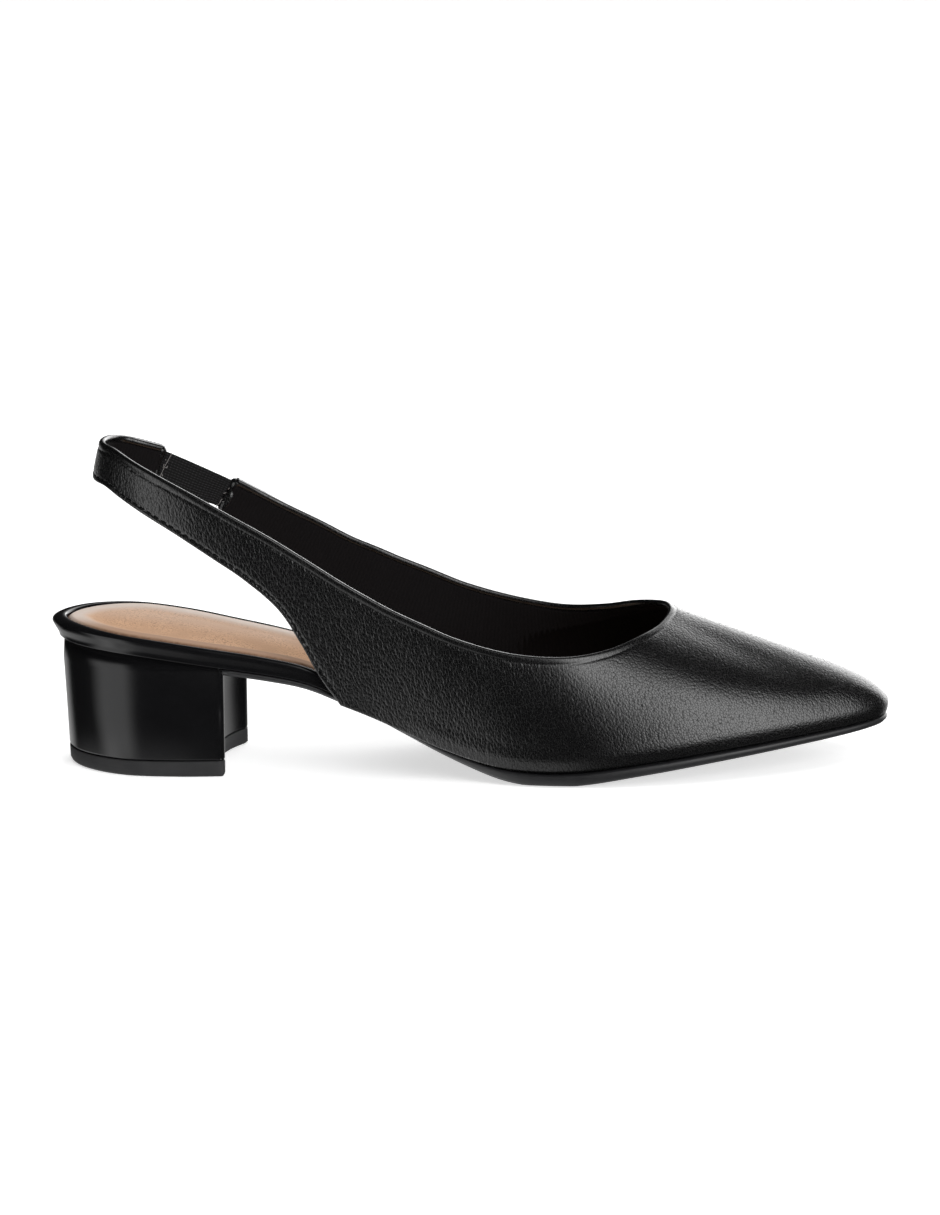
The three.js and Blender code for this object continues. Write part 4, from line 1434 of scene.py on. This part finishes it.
@dataclass
class Band:
    """The band that the upper is cut as, from the strap's cut end round the toe to the tab."""

    last: Last
    strap_rise: float = 61.8
    throat_rise: float = 40.0
    collar_width: float = 54.6
    strap_width: float = 13.4
    waist_row: int = 6
    nudge: float = 0.5
    step: float = 0.05
    climb: float = 0.01
    reach_steps: int = 161

    def __post_init__(self) -> None:
        """Works out the edges and the bends from the tables."""
        last = self.last
        self.vamp_first = len(STRAP)
        self.vamp_last = self.vamp_first + len(TOPLINE) - 1
        self.end = self.vamp_last + len(TAB)
        collar = [self.top_row(row, self.collar_width, self.strap_rise) for row in STRAP]
        throat = [self.top_row(row, last.ball_width, self.throat_rise) for row in TOPLINE]
        tab = [self.top_row(row, self.collar_width, self.strap_rise) for row in TAB]
        self.topline = SmoothLine(np.array(collar + throat + tab))
        across = [BEND[min(index, len(TOPLINE) - 1 - index)] for index in range(len(TOPLINE))]
        self.bends = np.array([STRAP_BEND] * len(STRAP) + across + [STRAP_BEND] * len(TAB))
        strap_thick, tab_thick = (column(rows, BAND_COLUMNS, "thick") for rows in (STRAP, TAB))
        self.thick = strap_thick + [1.0] * len(TOPLINE) + tab_thick
        ends = self.feather(np.array([self.vamp_first, self.vamp_last], float))
        strap_low = [self.low_row(row, index) for index, row in enumerate(STRAP)]
        tab_low = [self.low_row(row, self.vamp_last + 1 + index) for index, row in enumerate(TAB)]
        self.strap_low = SmoothLine(np.array([*strap_low, ends[0]]))
        self.tab_low = SmoothLine(np.array([ends[1], *tab_low]))

    def top_row(self, row: Sequence[float], width: float, rise: float) -> np.ndarray:
        """A point of the topline.

        Args:
            row: The row of the table that holds it.
            width: The width that its side is a share of.
            rise: The height that its rise over the sole is a share of.

        Returns:
            The point.
        """
        at, side, up = row[:3]
        x = at * self.last.length
        return np.array([x, side * width, float(self.last.sole_top(np.array(x))) + up * rise])

    def low_row(self, row: Sequence[float], place: float) -> np.ndarray:
        """A point of the lower edge of the strap or the tab.

        Args:
            row: The row of the table that holds it.
            place: Its place along the band.

        Returns:
            The point.
        """
        *_, width, flare, _ = row
        share = np.array(place / self.end)
        top, run = self.topline.at(share), self.topline.tangent(share)
        level = math.hypot(run[0], run[1])
        down = np.array([run[0] / level * run[2], run[1] / level * run[2], -level])
        outward = np.array([run[1] / level, -run[0] / level, 0.0])
        return top + down * width * self.strap_width + outward * flare * self.strap_width

    def feather(self, place: np.ndarray) -> np.ndarray:
        """Points of the lower edge over the sole.

        Args:
            place: Places along the band.

        Returns:
            One point for each place.
        """
        last = self.last
        plan = last.outline(self.waist_row + place - self.vamp_first, last.clearance + last.wall)
        drop = by_row(column(TOPLINE, TOPLINE_COLUMNS, "drop"), place - self.vamp_first)
        plan[..., 2] = last.sole_top(plan[..., 0]) + last.clearance - drop * last.sole_thickness
        return plan

    def low(self, place: np.ndarray) -> np.ndarray:
        """Points of the lower edge all along the band.

        Args:
            place: Places along the band.

        Returns:
            One point for each place.
        """
        on_sole = self.feather(np.clip(place, self.vamp_first, self.vamp_last))
        strap = self.strap_low.at(np.clip(place / self.vamp_first, 0, 1))
        tab = self.tab_low.at(np.clip((place - self.vamp_last) / len(TAB), 0, 1))
        low = np.where((place < self.vamp_first)[..., None], strap, on_sole)
        return np.where((place > self.vamp_last)[..., None], tab, low)

    def controls(self, place: np.ndarray) -> np.ndarray:
        """The four points that bend each section.

        Args:
            place: Places along the band.

        Returns:
            Four points for each place, from the lower edge to the topline.
        """
        low, top = self.low(place), self.topline.at(place / self.end)
        run = self.low(np.minimum(place + self.nudge, self.end)) - self.low(np.maximum(place - self.nudge, 0))
        outward = unit(np.stack([run[..., 1], -run[..., 0], np.zeros_like(place)], axis=-1))
        lean, rise, bulge, reach, fall, swell = (
            by_row(self.bends[:, column], place)[..., None] for column in range(len(BEND_COLUMNS))
        )
        across = (top - low) * (1, 1, 0)
        height = (top - low) * (0, 0, 1)
        lower = low + across * lean + height * rise + outward * bulge * self.last.ball_width
        upper = top - across * reach - height * fall + outward * swell * self.last.ball_width
        return np.stack([low, lower, upper, top], axis=-2)

    def bare(self, place: np.ndarray, share: np.ndarray) -> np.ndarray:
        """Points of the leather's outside.

        Args:
            place: Places along the band, one for each row.
            share: Shares of the way up to the topline, rows by columns.

        Returns:
            Rows by columns of points.
        """
        low, lower, upper, top = np.moveaxis(self.controls(place)[:, None], -2, 0)
        t = share[..., None]
        s = 1 - t
        return s**3 * low + 3 * s * s * t * lower + 3 * s * t * t * upper + t**3 * top

    def normals(self, place: np.ndarray, share: np.ndarray) -> np.ndarray:
        """Directions out of the leather.

        Args:
            place: Places along the band, one for each row.
            share: Shares of the way up to the topline, rows by columns.

        Returns:
            Rows by columns of directions.
        """
        ahead = self.bare(np.minimum(place + self.step, self.end), share)
        behind = self.bare(np.maximum(place - self.step, 0), share)
        return unit(np.cross(ahead - behind, self.upwards(place, share)))

    def upwards(self, place: np.ndarray, share: np.ndarray) -> np.ndarray:
        """Short steps up the leather, rows by columns."""
        above, below = np.minimum(share + self.climb, 1), np.maximum(share - self.climb, 0)
        return self.bare(place, above) - self.bare(place, below)

    def reach(self, place: np.ndarray) -> tuple[np.ndarray, np.ndarray]:
        """Distances down each section from the topline.

        Args:
            place: Places along the band.

        Returns:
            The shares that were read, and the distance at each, rows by shares.
        """
        share = np.linspace(1, 0, self.reach_steps)
        points = self.bare(place, np.broadcast_to(share, (len(place), len(share))))
        steps = np.linalg.norm(np.diff(points, axis=1), axis=-1)
        return share, np.concatenate([np.zeros((len(place), 1)), np.cumsum(steps, axis=1)], axis=1)

    def width(self, place: np.ndarray) -> np.ndarray:
        """Width of the band at each place."""
        return self.reach(place)[1][:, -1]

    def on(self, place: np.ndarray, drop: np.ndarray, out: np.ndarray) -> np.ndarray:
        """Points at a distance down from the topline and out of the leather.

        Args:
            place: Places along the band, one for each row.
            drop: Distances down, rows by columns. Less than 0 is above the edge.
            out: Distances out, rows by columns.

        Returns:
            Rows by columns of points.
        """
        shares, distances = self.reach(place)
        share = np.stack([np.interp(row, down, shares) for row, down in zip(drop, distances)])
        base, normal = self.bare(place, share), self.normals(place, share)
        climb = unit(self.upwards(place, share))
        width = distances[:, -1:]
        over = np.where(drop < 0, -drop, np.where(drop > width, width - drop, 0.0))
        return base + normal * out[..., None] + climb * over[..., None]

    def thickness(self, place: np.ndarray) -> np.ndarray:
        """Thickness of the wall at each place."""
        return self.last.wall * by_row(self.thick, place)

    def along(self, place: np.ndarray) -> np.ndarray:
        """Distance along the topline to each place."""
        return run_length(self.topline.at(place / self.end))


# Sections of the leather's edges: distance from the edge and distance out

FEATHER_EDGE = ((0.0, -0.75), (0.0, -0.45), (0.12, -0.15), (0.45, 0.0))
ROLL = (
    (2.8, -0.05),
    (2.5, -0.17),
    (2.25, -0.16),
    (1.95, -0.03),
    (1.5, 0.08),
    (0.95, 0.09),
    (0.5, 0.0),
    (0.22, -0.2),
    (0.05, -0.48),
    (-0.03, -0.85),
)
ROLL_INSIDE = ((0.05, 0.42), (0.25, 0.14), (0.6, -0.04), (1.0, -0.1), (1.4, -0.04), (1.8, 0.16), (2.1, 0.42))


@dataclass
class Upper:
    """Leather with a rolled topline, its lining and the stitching.

    Fields:
        face_from: Distance down from the topline at which the plain face starts.
        face_gather: How the face's columns gather towards its lower edge.
        bead: Width of the rolled edge on the inside.
        hidden: Depth of the leather's back, which the lining covers.
        ridge: Height, place over the lower edge and width of the last's ridge over the footbed.
        ridge_rows: Distances from the strap and the tab, in rows, between which it grows.
        trough: Height and width of the trough beside the stitching.
        sewn_strap: Distances back from the strap's root, in rows, between which the trough fades.
        sewn_tab: Distances past the tab's root, in rows, between which it grows.
        face_until: Distance over the lower edge at which the plain face ends.
        strap_ends: Where the strap's seam starts after its cut end and ends past its root, in rows.
        tab_ends: Where the tab's seam starts before its root and ends before its cut end, in rows.
        lap: How far the lining bulges in over the footbed.
        lap_run: Distances over the lower edge between which it does.
        lap_rows: Distances from the strap and the tab, in rows, between which it does.
    """

    last: Last
    band: Band
    row_steps: int = 9
    face_columns: int = 34
    lining_columns: int = 22
    face_from: float = 3.3
    face_until: float = 0.5
    face_gather: float = 1.25
    bead: float = 2.3
    hidden: float = 0.8
    ridge: tuple[float, float, float] = (0.35, 4.2, 2.6)
    ridge_rows: tuple[float, float] = (0.5, 3.0)
    trough: tuple[float, float] = (-0.26, 0.45)
    sewn_strap: tuple[float, float] = (0.8, 0.0)
    sewn_tab: tuple[float, float] = (0.6, 1.4)
    stitch_pitch: float = 2.7
    stitch_length: float = 1.9
    stitch_radius: float = 0.24
    stitch_inset: float = 1.5
    stitch_sink: float = 0.12
    stitch_segments: tuple[int, int] = (8, 6)
    strap_ends: tuple[float, float] = (0.25, 0.35)
    tab_ends: tuple[float, float] = (0.4, 0.25)
    run_steps: int = 400
    run_climb: float = 0.02
    least_slide: float = 0.35
    lap: float = 0.42
    lap_run: tuple[float, float] = (4.5, 2.4)
    lap_rows: tuple[float, float] = (0.1, 0.9)
    lining_gap: float = 0.9

    def over_sole(self, place: np.ndarray, near: float, far: float) -> np.ndarray:
        """Rises from 0 at the strap and the tab to 1 over the sole.

        Args:
            place: Places along the band.
            near: Distance from the strap and the tab, in rows, at which it starts.
            far: Distance at which it is 1.

        Returns:
            The value at each place.
        """
        first, final = self.band.vamp_first, self.band.vamp_last
        return ease(place, first + near, first + far) * (1 - ease(place, final - far, final - near))

    def places(self) -> np.ndarray:
        """Places along the band at which it is drawn."""
        return np.linspace(0, self.band.end, self.band.end * self.row_steps + 1)

    def relief(self, place: np.ndarray, drop: np.ndarray, width: np.ndarray) -> np.ndarray:
        """Soft forms of the leather: the last's ridge over the footbed and the trough beside the stitching.

        Args:
            place: Places along the band.
            drop: Distances down from the topline.
            width: Width of the band at each place.

        Returns:
            How far the leather stands out.
        """
        low = width - drop
        first, final = self.band.vamp_first, self.band.vamp_last
        height, middle, spread = self.ridge
        feather = height * np.exp(-(((low - middle) / spread) ** 2)) * self.over_sole(place, *self.ridge_rows)
        fades = ease(place, *(first - distance for distance in self.sewn_strap))
        grows = ease(place, *(final + distance for distance in self.sewn_tab))
        sewn = 1 - fades + grows
        height, spread = self.trough
        seam = height * np.exp(-(((low - self.stitch_inset) / spread) ** 2)) * sewn
        return feather + seam

    def section(self, sides: Sequence[Side]) -> Side:
        """The drops of a section and its points on the band.

        Args:
            sides: For each column the distances down from the topline and out of the leather.

        Returns:
            The distances down and the points, rows by columns.
        """
        drop, out = (np.concatenate(entries, axis=1) for entries in zip(*sides))
        return drop, self.band.on(self.places(), drop, out)

    def leather(self) -> bpy.types.Object:
        """Makes the outer leather, which rolls over the topline.

        Returns:
            The leather's object.
        """
        band = self.band
        place = self.places()
        column_place = place[:, None]
        width = band.width(place)[:, None]
        wall = band.thickness(place)[:, None]
        zero = np.zeros_like(width)
        sides = [(width - up, zero + out) for up, out in FEATHER_EDGE]
        for part in np.linspace(0, 1, self.face_columns)[1:] ** self.face_gather:
            down = (width - self.face_until) + (self.face_from - width + self.face_until) * part
            sides.append((down, zero + self.relief(column_place, down, width)))
        sides += [(zero + down, zero + out) for down, out in ROLL]
        sides += [(zero + down, -wall + out) for down, out in (*ROLL_INSIDE, (self.bead, 0.7))]
        sides.append((zero + self.bead + 0.2, -wall * 0.5 - 0.1))
        sides += [(width * 0.5, zero - self.hidden), (width - 0.3, zero - self.hidden)]
        drop, points = self.section(sides)
        bm = Loft(points, marks={"drop": drop}).to_bmesh(self.last)
        return Piece("upper_leather", "upper", GRAIN_LEATHER, "upper").add(bm)

    def lining(self) -> bpy.types.Object:
        """Makes the lining, which starts under the rolled edge.

        Returns:
            The lining's object.
        """
        band = self.band
        place = self.places()
        width = band.width(place)[:, None]
        wall = band.thickness(place)[:, None]
        zero = np.zeros_like(width)
        start = self.bead - 0.2
        sides = [
            (zero + start, -wall * 0.5 - 0.2),
            (zero + start + 0.1, -wall + 0.4),
            (zero + start + 0.5, -wall + 0.12),
        ]
        lap_from, lap_until = (width - distance for distance in self.lap_run)
        for part in np.linspace(0, 1, self.lining_columns):
            down = (start + self.lining_gap) + (width - self.face_until - start - self.lining_gap) * part
            lap = self.lap * ease(down, lap_from, lap_until) * self.over_sole(place[:, None], *self.lap_rows)
            sides.append((down, -wall + 0.08 - lap))
        sides += [(width - 0.12, -wall + 0.2), (width, -wall + 0.5), (width, -wall * 0.5 - 0.2 + zero)]
        drop, points = self.section(sides)
        along = np.broadcast_to(band.along(place)[:, None], drop.shape)
        cover = np.stack([along, drop], axis=-1)
        bm = Loft(points, cover=cover).to_bmesh(self.last)
        return Piece("upper_lining", "upper", LINING_CLOTH).add(bm)

    def edge_run(self, first: float, final: float, edge: Edge, inset: float) -> Side:
        """A line on the leather at an even distance from an edge of the band.

        Args:
            first: Place where the line starts.
            final: Place where it ends.
            edge: The edge that it follows.
            inset: Its distance from the edge.

        Returns:
            Points along the line, and the directions out of the leather there.
        """
        place = np.linspace(first, final, self.run_steps)
        share = np.full((len(place), 1), edge.value)
        rim = self.band.bare(place, share)[:, 0]
        normal = self.band.normals(place, share)[:, 0]
        run = unit(np.gradient(rim, axis=0))
        inward = np.cross(normal, run) * (1 if edge is Edge.LOWER else -1)
        guess = rim + inward * inset
        width = self.band.width(place)
        climb = unit(self.band.bare(place, share + self.run_climb * (1 - 2 * edge.value))[:, 0] - rim)
        slide = np.abs(np.sum(inward * climb, axis=1))
        drop = inset / np.maximum(slide, self.least_slide)
        down = drop if edge is Edge.TOPLINE else width - drop
        seat = self.band.on(place, down[:, None], np.zeros((len(place), 1)))[:, 0]
        lift = np.sum((seat - guess) * normal, axis=1, keepdims=True)
        return guess + normal * lift, normal

    def stitches(self) -> bpy.types.Object:
        """Makes the row of stitches along the strap's and the tab's lower edges.

        Returns:
            The stitches' object.
        """
        bm = bmesh.new()
        (strap_first, strap_final), (tab_first, tab_final) = self.strap_ends, self.tab_ends
        strap_run = (strap_first, self.band.vamp_first + strap_final)
        tab_run = (self.band.vamp_last - tab_first, self.band.end - tab_final)
        for first, final in (strap_run, tab_run):
            line, normal = self.edge_run(first, final, Edge.LOWER, self.stitch_inset)
            along = run_length(line)
            for centre in np.arange(self.stitch_pitch, along[-1], self.stitch_pitch):
                here, up, run = (
                    np.array([np.interp(centre, along, values[:, axis]) for axis in range(3)])
                    for values in (line, normal, np.gradient(line, axis=0))
                )
                self.add_stitch(bm, here, unit(up), unit(run))
        return Piece("stitches", "upper", STITCHING).add(bm)

    def add_stitch(self, bm: bmesh.types.BMesh, here: np.ndarray, up: np.ndarray, run: np.ndarray) -> None:
        """Adds one plump stitch to a mesh.

        Args:
            bm: The mesh that gets the stitch.
            here: Its place on the leather.
            up: The direction out of the leather.
            run: The direction along the seam.
        """
        side = np.cross(up, run)
        spot = Matrix.Translation(Vector(self.last.to_frame(here - up * self.stitch_sink)))
        turn = Matrix((run, side, up)).transposed().to_4x4()
        size = Matrix.Diagonal((self.stitch_length / 2, self.stitch_radius, self.stitch_radius, 1.0))
        matrix = spot @ turn @ (Matrix.Scale(METRE, 4) @ size)
        around, rings = self.stitch_segments
        bmesh.ops.create_uvsphere(bm, u_segments=around, v_segments=rings, radius=1.0, matrix=matrix)


class Seam(NamedTuple):
    """A light thread sewn across the elastic.

    Fields:
        share: Its place along the ribbon.
        low: Share of the ribbon's width at which it starts.
        high: Share at which it ends.
        back: How far it leans back along the ribbon at its start, in millimetres.
        ahead: How far it leans ahead at its end.
    """

    share: float
    low: float
    high: float
    back: float
    ahead: float


@dataclass
class Elastic:
    """Knitted ribbon between the strap's end and the tab, with its frayed ends.

    Fields:
        low: Share of the strap's width at which the ribbon starts.
        high: Share at which it ends.
        sag: How far its lower edge hangs at the strap.
        tab_sag: How far it hangs at the tab.
        sag_run: Places along the ribbon between which the one becomes the other.
        depths: Places inside the strap and the tab that the ribbon runs through.
        wave: Height of its waves.
        wave_pitch: Pitch of its waves.
    """

    last: Last
    band: Band
    thickness: float = 1.0
    low: float = 0.155
    high: float = 0.88
    sag: float = 1.7
    tab_sag: float = 0.5
    sag_run: tuple[float, float] = (0.5, 0.57)
    depths: tuple[float, ...] = (0.8, 0.4, 0.0)
    wave: float = 0.1
    wave_pitch: float = 1.9
    steps: int = 181
    columns: int = 14
    hem_place: float = 0.04
    hem_inset: float = 0.3
    hem_depth: float = 0.52
    hem_tip: float = 0.35
    hem_neck: float = 0.8
    hem_drop: float = 2.0
    hem_steps: int = 26
    hem_sides: int = 14
    hem_lumps: int = 9
    hem_spread: tuple[float, float] = (0.8, 1.15)
    seams: tuple[Seam, ...] = (Seam(0.424, -0.02, 1.0, -0.9, 1.3), Seam(0.588, -0.2, 0.7, -1.6, 0.7))
    seam_steps: int = 24
    seam_wander: float = 0.05
    seam_lift: float = 0.4
    loose_count: int = 6
    loose_steps: int = 7
    loose_length: tuple[float, float] = (0.8, 1.9)
    loose_curl: float = 0.35
    loose_turn: float = 2.2
    loose_lift: float = 0.1
    strand: float = 0.11
    strand_sides: int = 6
    seed: int = 5

    def middle(self, place: np.ndarray, share: np.ndarray) -> np.ndarray:
        """Points in the middle of the band's wall, rows by columns."""
        base, normal = self.band.bare(place, share), self.band.normals(place, share)
        return base - normal * self.band.thickness(place)[:, None, None] / 2

    def sheet(self) -> np.ndarray:
        """The ribbon's middle as rows along it by columns across it.

        Returns:
            Rows by columns of points.
        """
        ends = np.array([*self.depths, *reversed([self.band.end - depth for depth in self.depths])])
        across = np.linspace(self.low, self.high, self.columns)
        knots = self.middle(ends, np.broadcast_to(across, (len(ends), self.columns)))
        share = np.linspace(0, 1, self.steps)
        flat = np.stack([SmoothLine(knots[:, column]).at(share) for column in range(self.columns)], axis=1)
        down = unit(flat[:, :1] - flat[:, -1:])
        sag = self.tab_sag + (self.sag - self.tab_sag) * (1 - ease(share, *self.sag_run))
        return flat + down * sag[:, None, None] * np.linspace(1, 0, self.columns)[None, :, None]

    def build(self) -> None:
        """Makes the ribbon and its threads."""
        sheet = self.sheet()
        run = np.gradient(sheet, axis=0)
        rise = np.gradient(sheet, axis=1)
        normal = unit(np.cross(run, rise))
        half = self.thickness / 2
        length, height = run_length(sheet[:, 0]), run_length(sheet[0])
        wave = self.wave * np.sin(length * 2 * math.pi / self.wave_pitch)[:, None, None]
        front = sheet + normal * (half + wave)
        behind = (sheet - normal * (half + wave))[:, ::-1]
        rings = np.concatenate([front, behind], axis=1)
        across = np.concatenate([height, height[::-1]])
        cover = np.stack(np.broadcast_arrays(across[None], length[:, None]), axis=-1)
        bm = Loft(rings, cover=cover).to_bmesh(self.last)
        Piece("elastic_ribbon", "knit", KNIT, "elastic").add(bm)
        self.hems()
        self.threads()

    def hems(self) -> None:
        """Makes the folded, lumpy leather at the cut ends of the strap and the tab."""
        rng = np.random.default_rng(self.seed)
        for name, place in (("strap_hem", self.hem_place), ("tab_hem", self.band.end - self.hem_place)):
            spots = np.array([place])
            width = float(self.band.width(spots)[0])
            drop = np.linspace(self.hem_inset, width - self.hem_inset, self.hem_steps)
            wall = float(self.band.thickness(spots)[0])
            knots = np.linspace(0, width, self.hem_lumps)
            lumps = np.interp(drop, knots, rng.uniform(*self.hem_spread, self.hem_lumps))
            path = self.band.on(spots, drop[None], np.full((1, len(drop)), -wall * self.hem_depth))[0]
            radius = wall * 0.5 * lumps
            radius[[0, -1]] *= self.hem_tip
            radius[[1, -2]] *= self.hem_neck
            rings = tube_rings(path, radius, self.hem_sides)
            bm = Loft(rings, marks={"drop": np.full(rings.shape[:2], self.hem_drop)}).to_bmesh(self.last)
            Piece(name, "upper", GRAIN_LEATHER).add(bm)

    def threads(self) -> None:
        """Makes the light thread across the elastic at each end and the loose ends beside it."""
        rng = np.random.default_rng(self.seed + 1)
        sheet = self.sheet()
        bm = bmesh.new()
        half = self.thickness / 2
        for seam in self.seams:
            row = round(seam.share * (self.steps - 1))
            foot, across = sheet[row, 0], sheet[row, -1] - sheet[row, 0]
            ahead = sheet[row + 1, 0] - sheet[row - 1, 0]
            outward = unit(np.cross(ahead, across))
            base = foot + across * np.linspace(seam.low, seam.high, self.seam_steps)[:, None]
            lean = unit(ahead) * np.linspace(seam.back, seam.ahead, self.seam_steps)[:, None]
            wander = np.cumsum(rng.normal(0, self.seam_wander, (self.seam_steps, 3)), axis=0)
            self.add_thread(bm, base + lean + wander + outward * (half + self.seam_lift))
            for spot in rng.uniform(0, 1, self.loose_count):
                way = rng.normal(0, 1, 3) * (1.0, 0.5, 1.0)
                steps = np.linspace(0, rng.uniform(*self.loose_length), self.loose_steps)[:, None]
                curl = np.sin(steps * self.loose_turn) * rng.normal(0, self.loose_curl, 3)
                line = foot + across * spot + unit(way) * steps + curl
                self.add_thread(bm, line + outward * (half + self.loose_lift))
        Piece("loose_threads", "knit", FRAYED).add(bm)

    def add_thread(self, bm: bmesh.types.BMesh, line: np.ndarray) -> None:
        """Adds one thin thread to a mesh.

        Args:
            bm: The mesh that gets the thread.
            line: Points along the thread.
        """
        strand = Loft(tube_rings(line, self.strand, self.strand_sides)).to_bmesh(self.last)
        mesh = bpy.data.meshes.new("strand")
        strand.to_mesh(mesh)
        strand.free()
        bm.from_mesh(mesh)
        bpy.data.meshes.remove(mesh)


# The studio


@dataclass(frozen=True)
class Card:
    """A soft card of light round the studio, placed by its angles in degrees.

    Fields:
        turn: How far to the left of the camera its middle lies.
        turn_half: Half its width.
        rise: How high over the floor's plane its middle lies.
        rise_half: Half its height.
        strength: Its light.
        turn_soft: Half the width of its soft sides.
        rise_soft: Half the height of its soft ends.
    """

    turn: float
    turn_half: float
    rise: float
    rise_half: float
    strength: float
    turn_soft: float = 10.0
    rise_soft: float = 10.0

    def light(self, tree: Tree, turn: Socket, rise: Socket) -> Socket:
        """The card's light in each direction.

        Args:
            tree: The world's nodes.
            turn: Degrees to the left of the camera.
            rise: Degrees over the floor's plane.

        Returns:
            The light.
        """
        away = tree.math("SUBTRACT", turn, self.turn)
        away = tree.math("ABSOLUTE", tree.math("WRAP", away, 180.0, -180.0))
        above = tree.math("ABSOLUTE", tree.math("SUBTRACT", rise, self.rise))
        near = tree.ramp(away, self.turn_half - self.turn_soft, self.turn_half + self.turn_soft, 1.0, 0.0)
        level = tree.ramp(above, self.rise_half - self.rise_soft, self.rise_half + self.rise_soft, 1.0, 0.0)
        return tree.math("MULTIPLY", tree.math("MULTIPLY", near, level), self.strength)


CARDS = (
    Card(turn=-45, turn_half=17, rise=23, rise_half=30, strength=5.0, turn_soft=12, rise_soft=14),
    Card(turn=50, turn_half=21, rise=-12, rise_half=24, strength=1.9, turn_soft=9),
    Card(turn=30, turn_half=32, rise=-43, rise_half=12, strength=0.9),
    Card(turn=100, turn_half=45, rise=-52, rise_half=20, strength=1.7),
    Card(turn=-152, turn_half=24, rise=18, rise_half=22, strength=4.6, rise_soft=12),
    Card(turn=180, turn_half=50, rise=-17, rise_half=12, strength=0.7),
    Card(turn=0, turn_half=200, rise=-90, rise_half=36, strength=0.6),
)


@dataclass
class Studio:
    """Floor, light and camera. Lengths of the lamp and the floor are metres."""

    target: tuple[float, float, float] = (-0.75, 0.4, 47.47)
    distance: float = 1000.0
    azimuth: float = 1.0
    elevation: float = 13.2
    lens: float = 94.8
    sensor: float = 36.0
    clip: tuple[float, float] = (0.01, 200.0)
    floor_radius: float = 30.0
    floor_segments: int = 64
    floor_grey: float = 0.8
    floor_roughness: float = 0.9
    floor_glow: float = 0.6
    dim: float = 0.015
    lamp_side: float = 1.2
    lamp_energy: float = 9.0
    lamp_place: tuple[float, float, float] = (0.0, 0.15, 1.1)

    def camera(self) -> None:
        """Places the camera at the photo's angle."""
        data = bpy.data.cameras.new("camera")
        data.sensor_width = self.sensor
        data.lens = self.lens
        data.clip_start, data.clip_end = self.clip
        around, up = math.radians(self.azimuth), math.radians(self.elevation)
        back = Vector((math.sin(around) * math.cos(up), -math.cos(around) * math.cos(up), math.sin(up)))
        shape = stand("camera", data)
        shape.location = (Vector(self.target) + back * self.distance) * METRE
        shape.rotation_mode = "QUATERNION"
        shape.rotation_quaternion = (-back).to_track_quat("-Z", "Y")
        bpy.context.scene.camera = shape

    def floor(self) -> None:
        """Makes the plain pale floor, which gloss does not mirror."""
        bm = bmesh.new()
        bmesh.ops.create_circle(bm, cap_ends=True, segments=self.floor_segments, radius=self.floor_radius)
        mesh = bpy.data.meshes.new("floor")
        bm.to_mesh(mesh)
        bm.free()
        made = bpy.data.materials.new("floor_paint")
        made.use_nodes = True
        shader = made.node_tree.nodes["Principled BSDF"]
        plain = {
            "Base Color": (self.floor_grey, self.floor_grey, self.floor_grey, 1.0),
            "Roughness": self.floor_roughness,
            "Specular IOR Level": 0.0,
            "Emission Color": (1.0, 1.0, 1.0, 1.0),
            "Emission Strength": self.floor_glow,
        }
        for label, value in plain.items():
            shader.inputs[label].default_value = value
        mesh.materials.append(made)
        shape = stand("floor", mesh)
        shape.visible_glossy = False

    def surround(self) -> None:
        """Lights the room from soft cards round a dim studio."""
        world = bpy.data.worlds.new("studio")
        bpy.context.scene.world = world
        world.use_nodes = True
        tree = Tree(world.node_tree)
        ground = world.node_tree.nodes["Background"]
        way = tree.add("TexCoord").outputs["Generated"]
        split = tree.add("SeparateXYZ", {0: tree.vector("NORMALIZE", way)})
        left = tree.math("MULTIPLY", split.outputs[0], -1.0)
        front = tree.math("MULTIPLY", split.outputs[1], -1.0)
        turn = tree.math("DEGREES", tree.math("ARCTAN2", left, front))
        rise = tree.math("DEGREES", tree.math("ARCSINE", split.outputs[2]))
        total: Any = self.dim
        for card in CARDS:
            total = tree.math("ADD", total, card.light(tree, turn, rise))
        tree.link(total, ground.inputs["Strength"])
        ground.inputs["Color"].default_value = (1.0, 1.0, 1.0, 1.0)

    def build(self) -> None:
        """Makes the floor, the light and the camera."""
        bpy.context.scene.view_settings.view_transform = "Standard"
        self.camera()
        self.floor()
        self.surround()
        data = bpy.data.lights.new("overhead", "AREA")
        data.shape = "SQUARE"
        data.size = self.lamp_side
        data.energy = self.lamp_energy
        lamp = stand("overhead", data)
        lamp.location = self.lamp_place
        lamp.visible_glossy = False


def main() -> None:
    """Builds and dresses the shoe."""
    logging.basicConfig(level=logging.INFO, format="%(name)s %(message)s")
    last = Last()
    heel = Heel(last)
    Studio().build()
    Sole(last).build(heel)
    heel.build()
    footbed = Footbed(last)
    footbed.rim()
    footbed.sock()
    band = Band(last)
    upper = Upper(last, band)
    upper.leather()
    upper.lining()
    upper.stitches()
    Elastic(last, band).build()


if __name__ == "__main__":
    main()
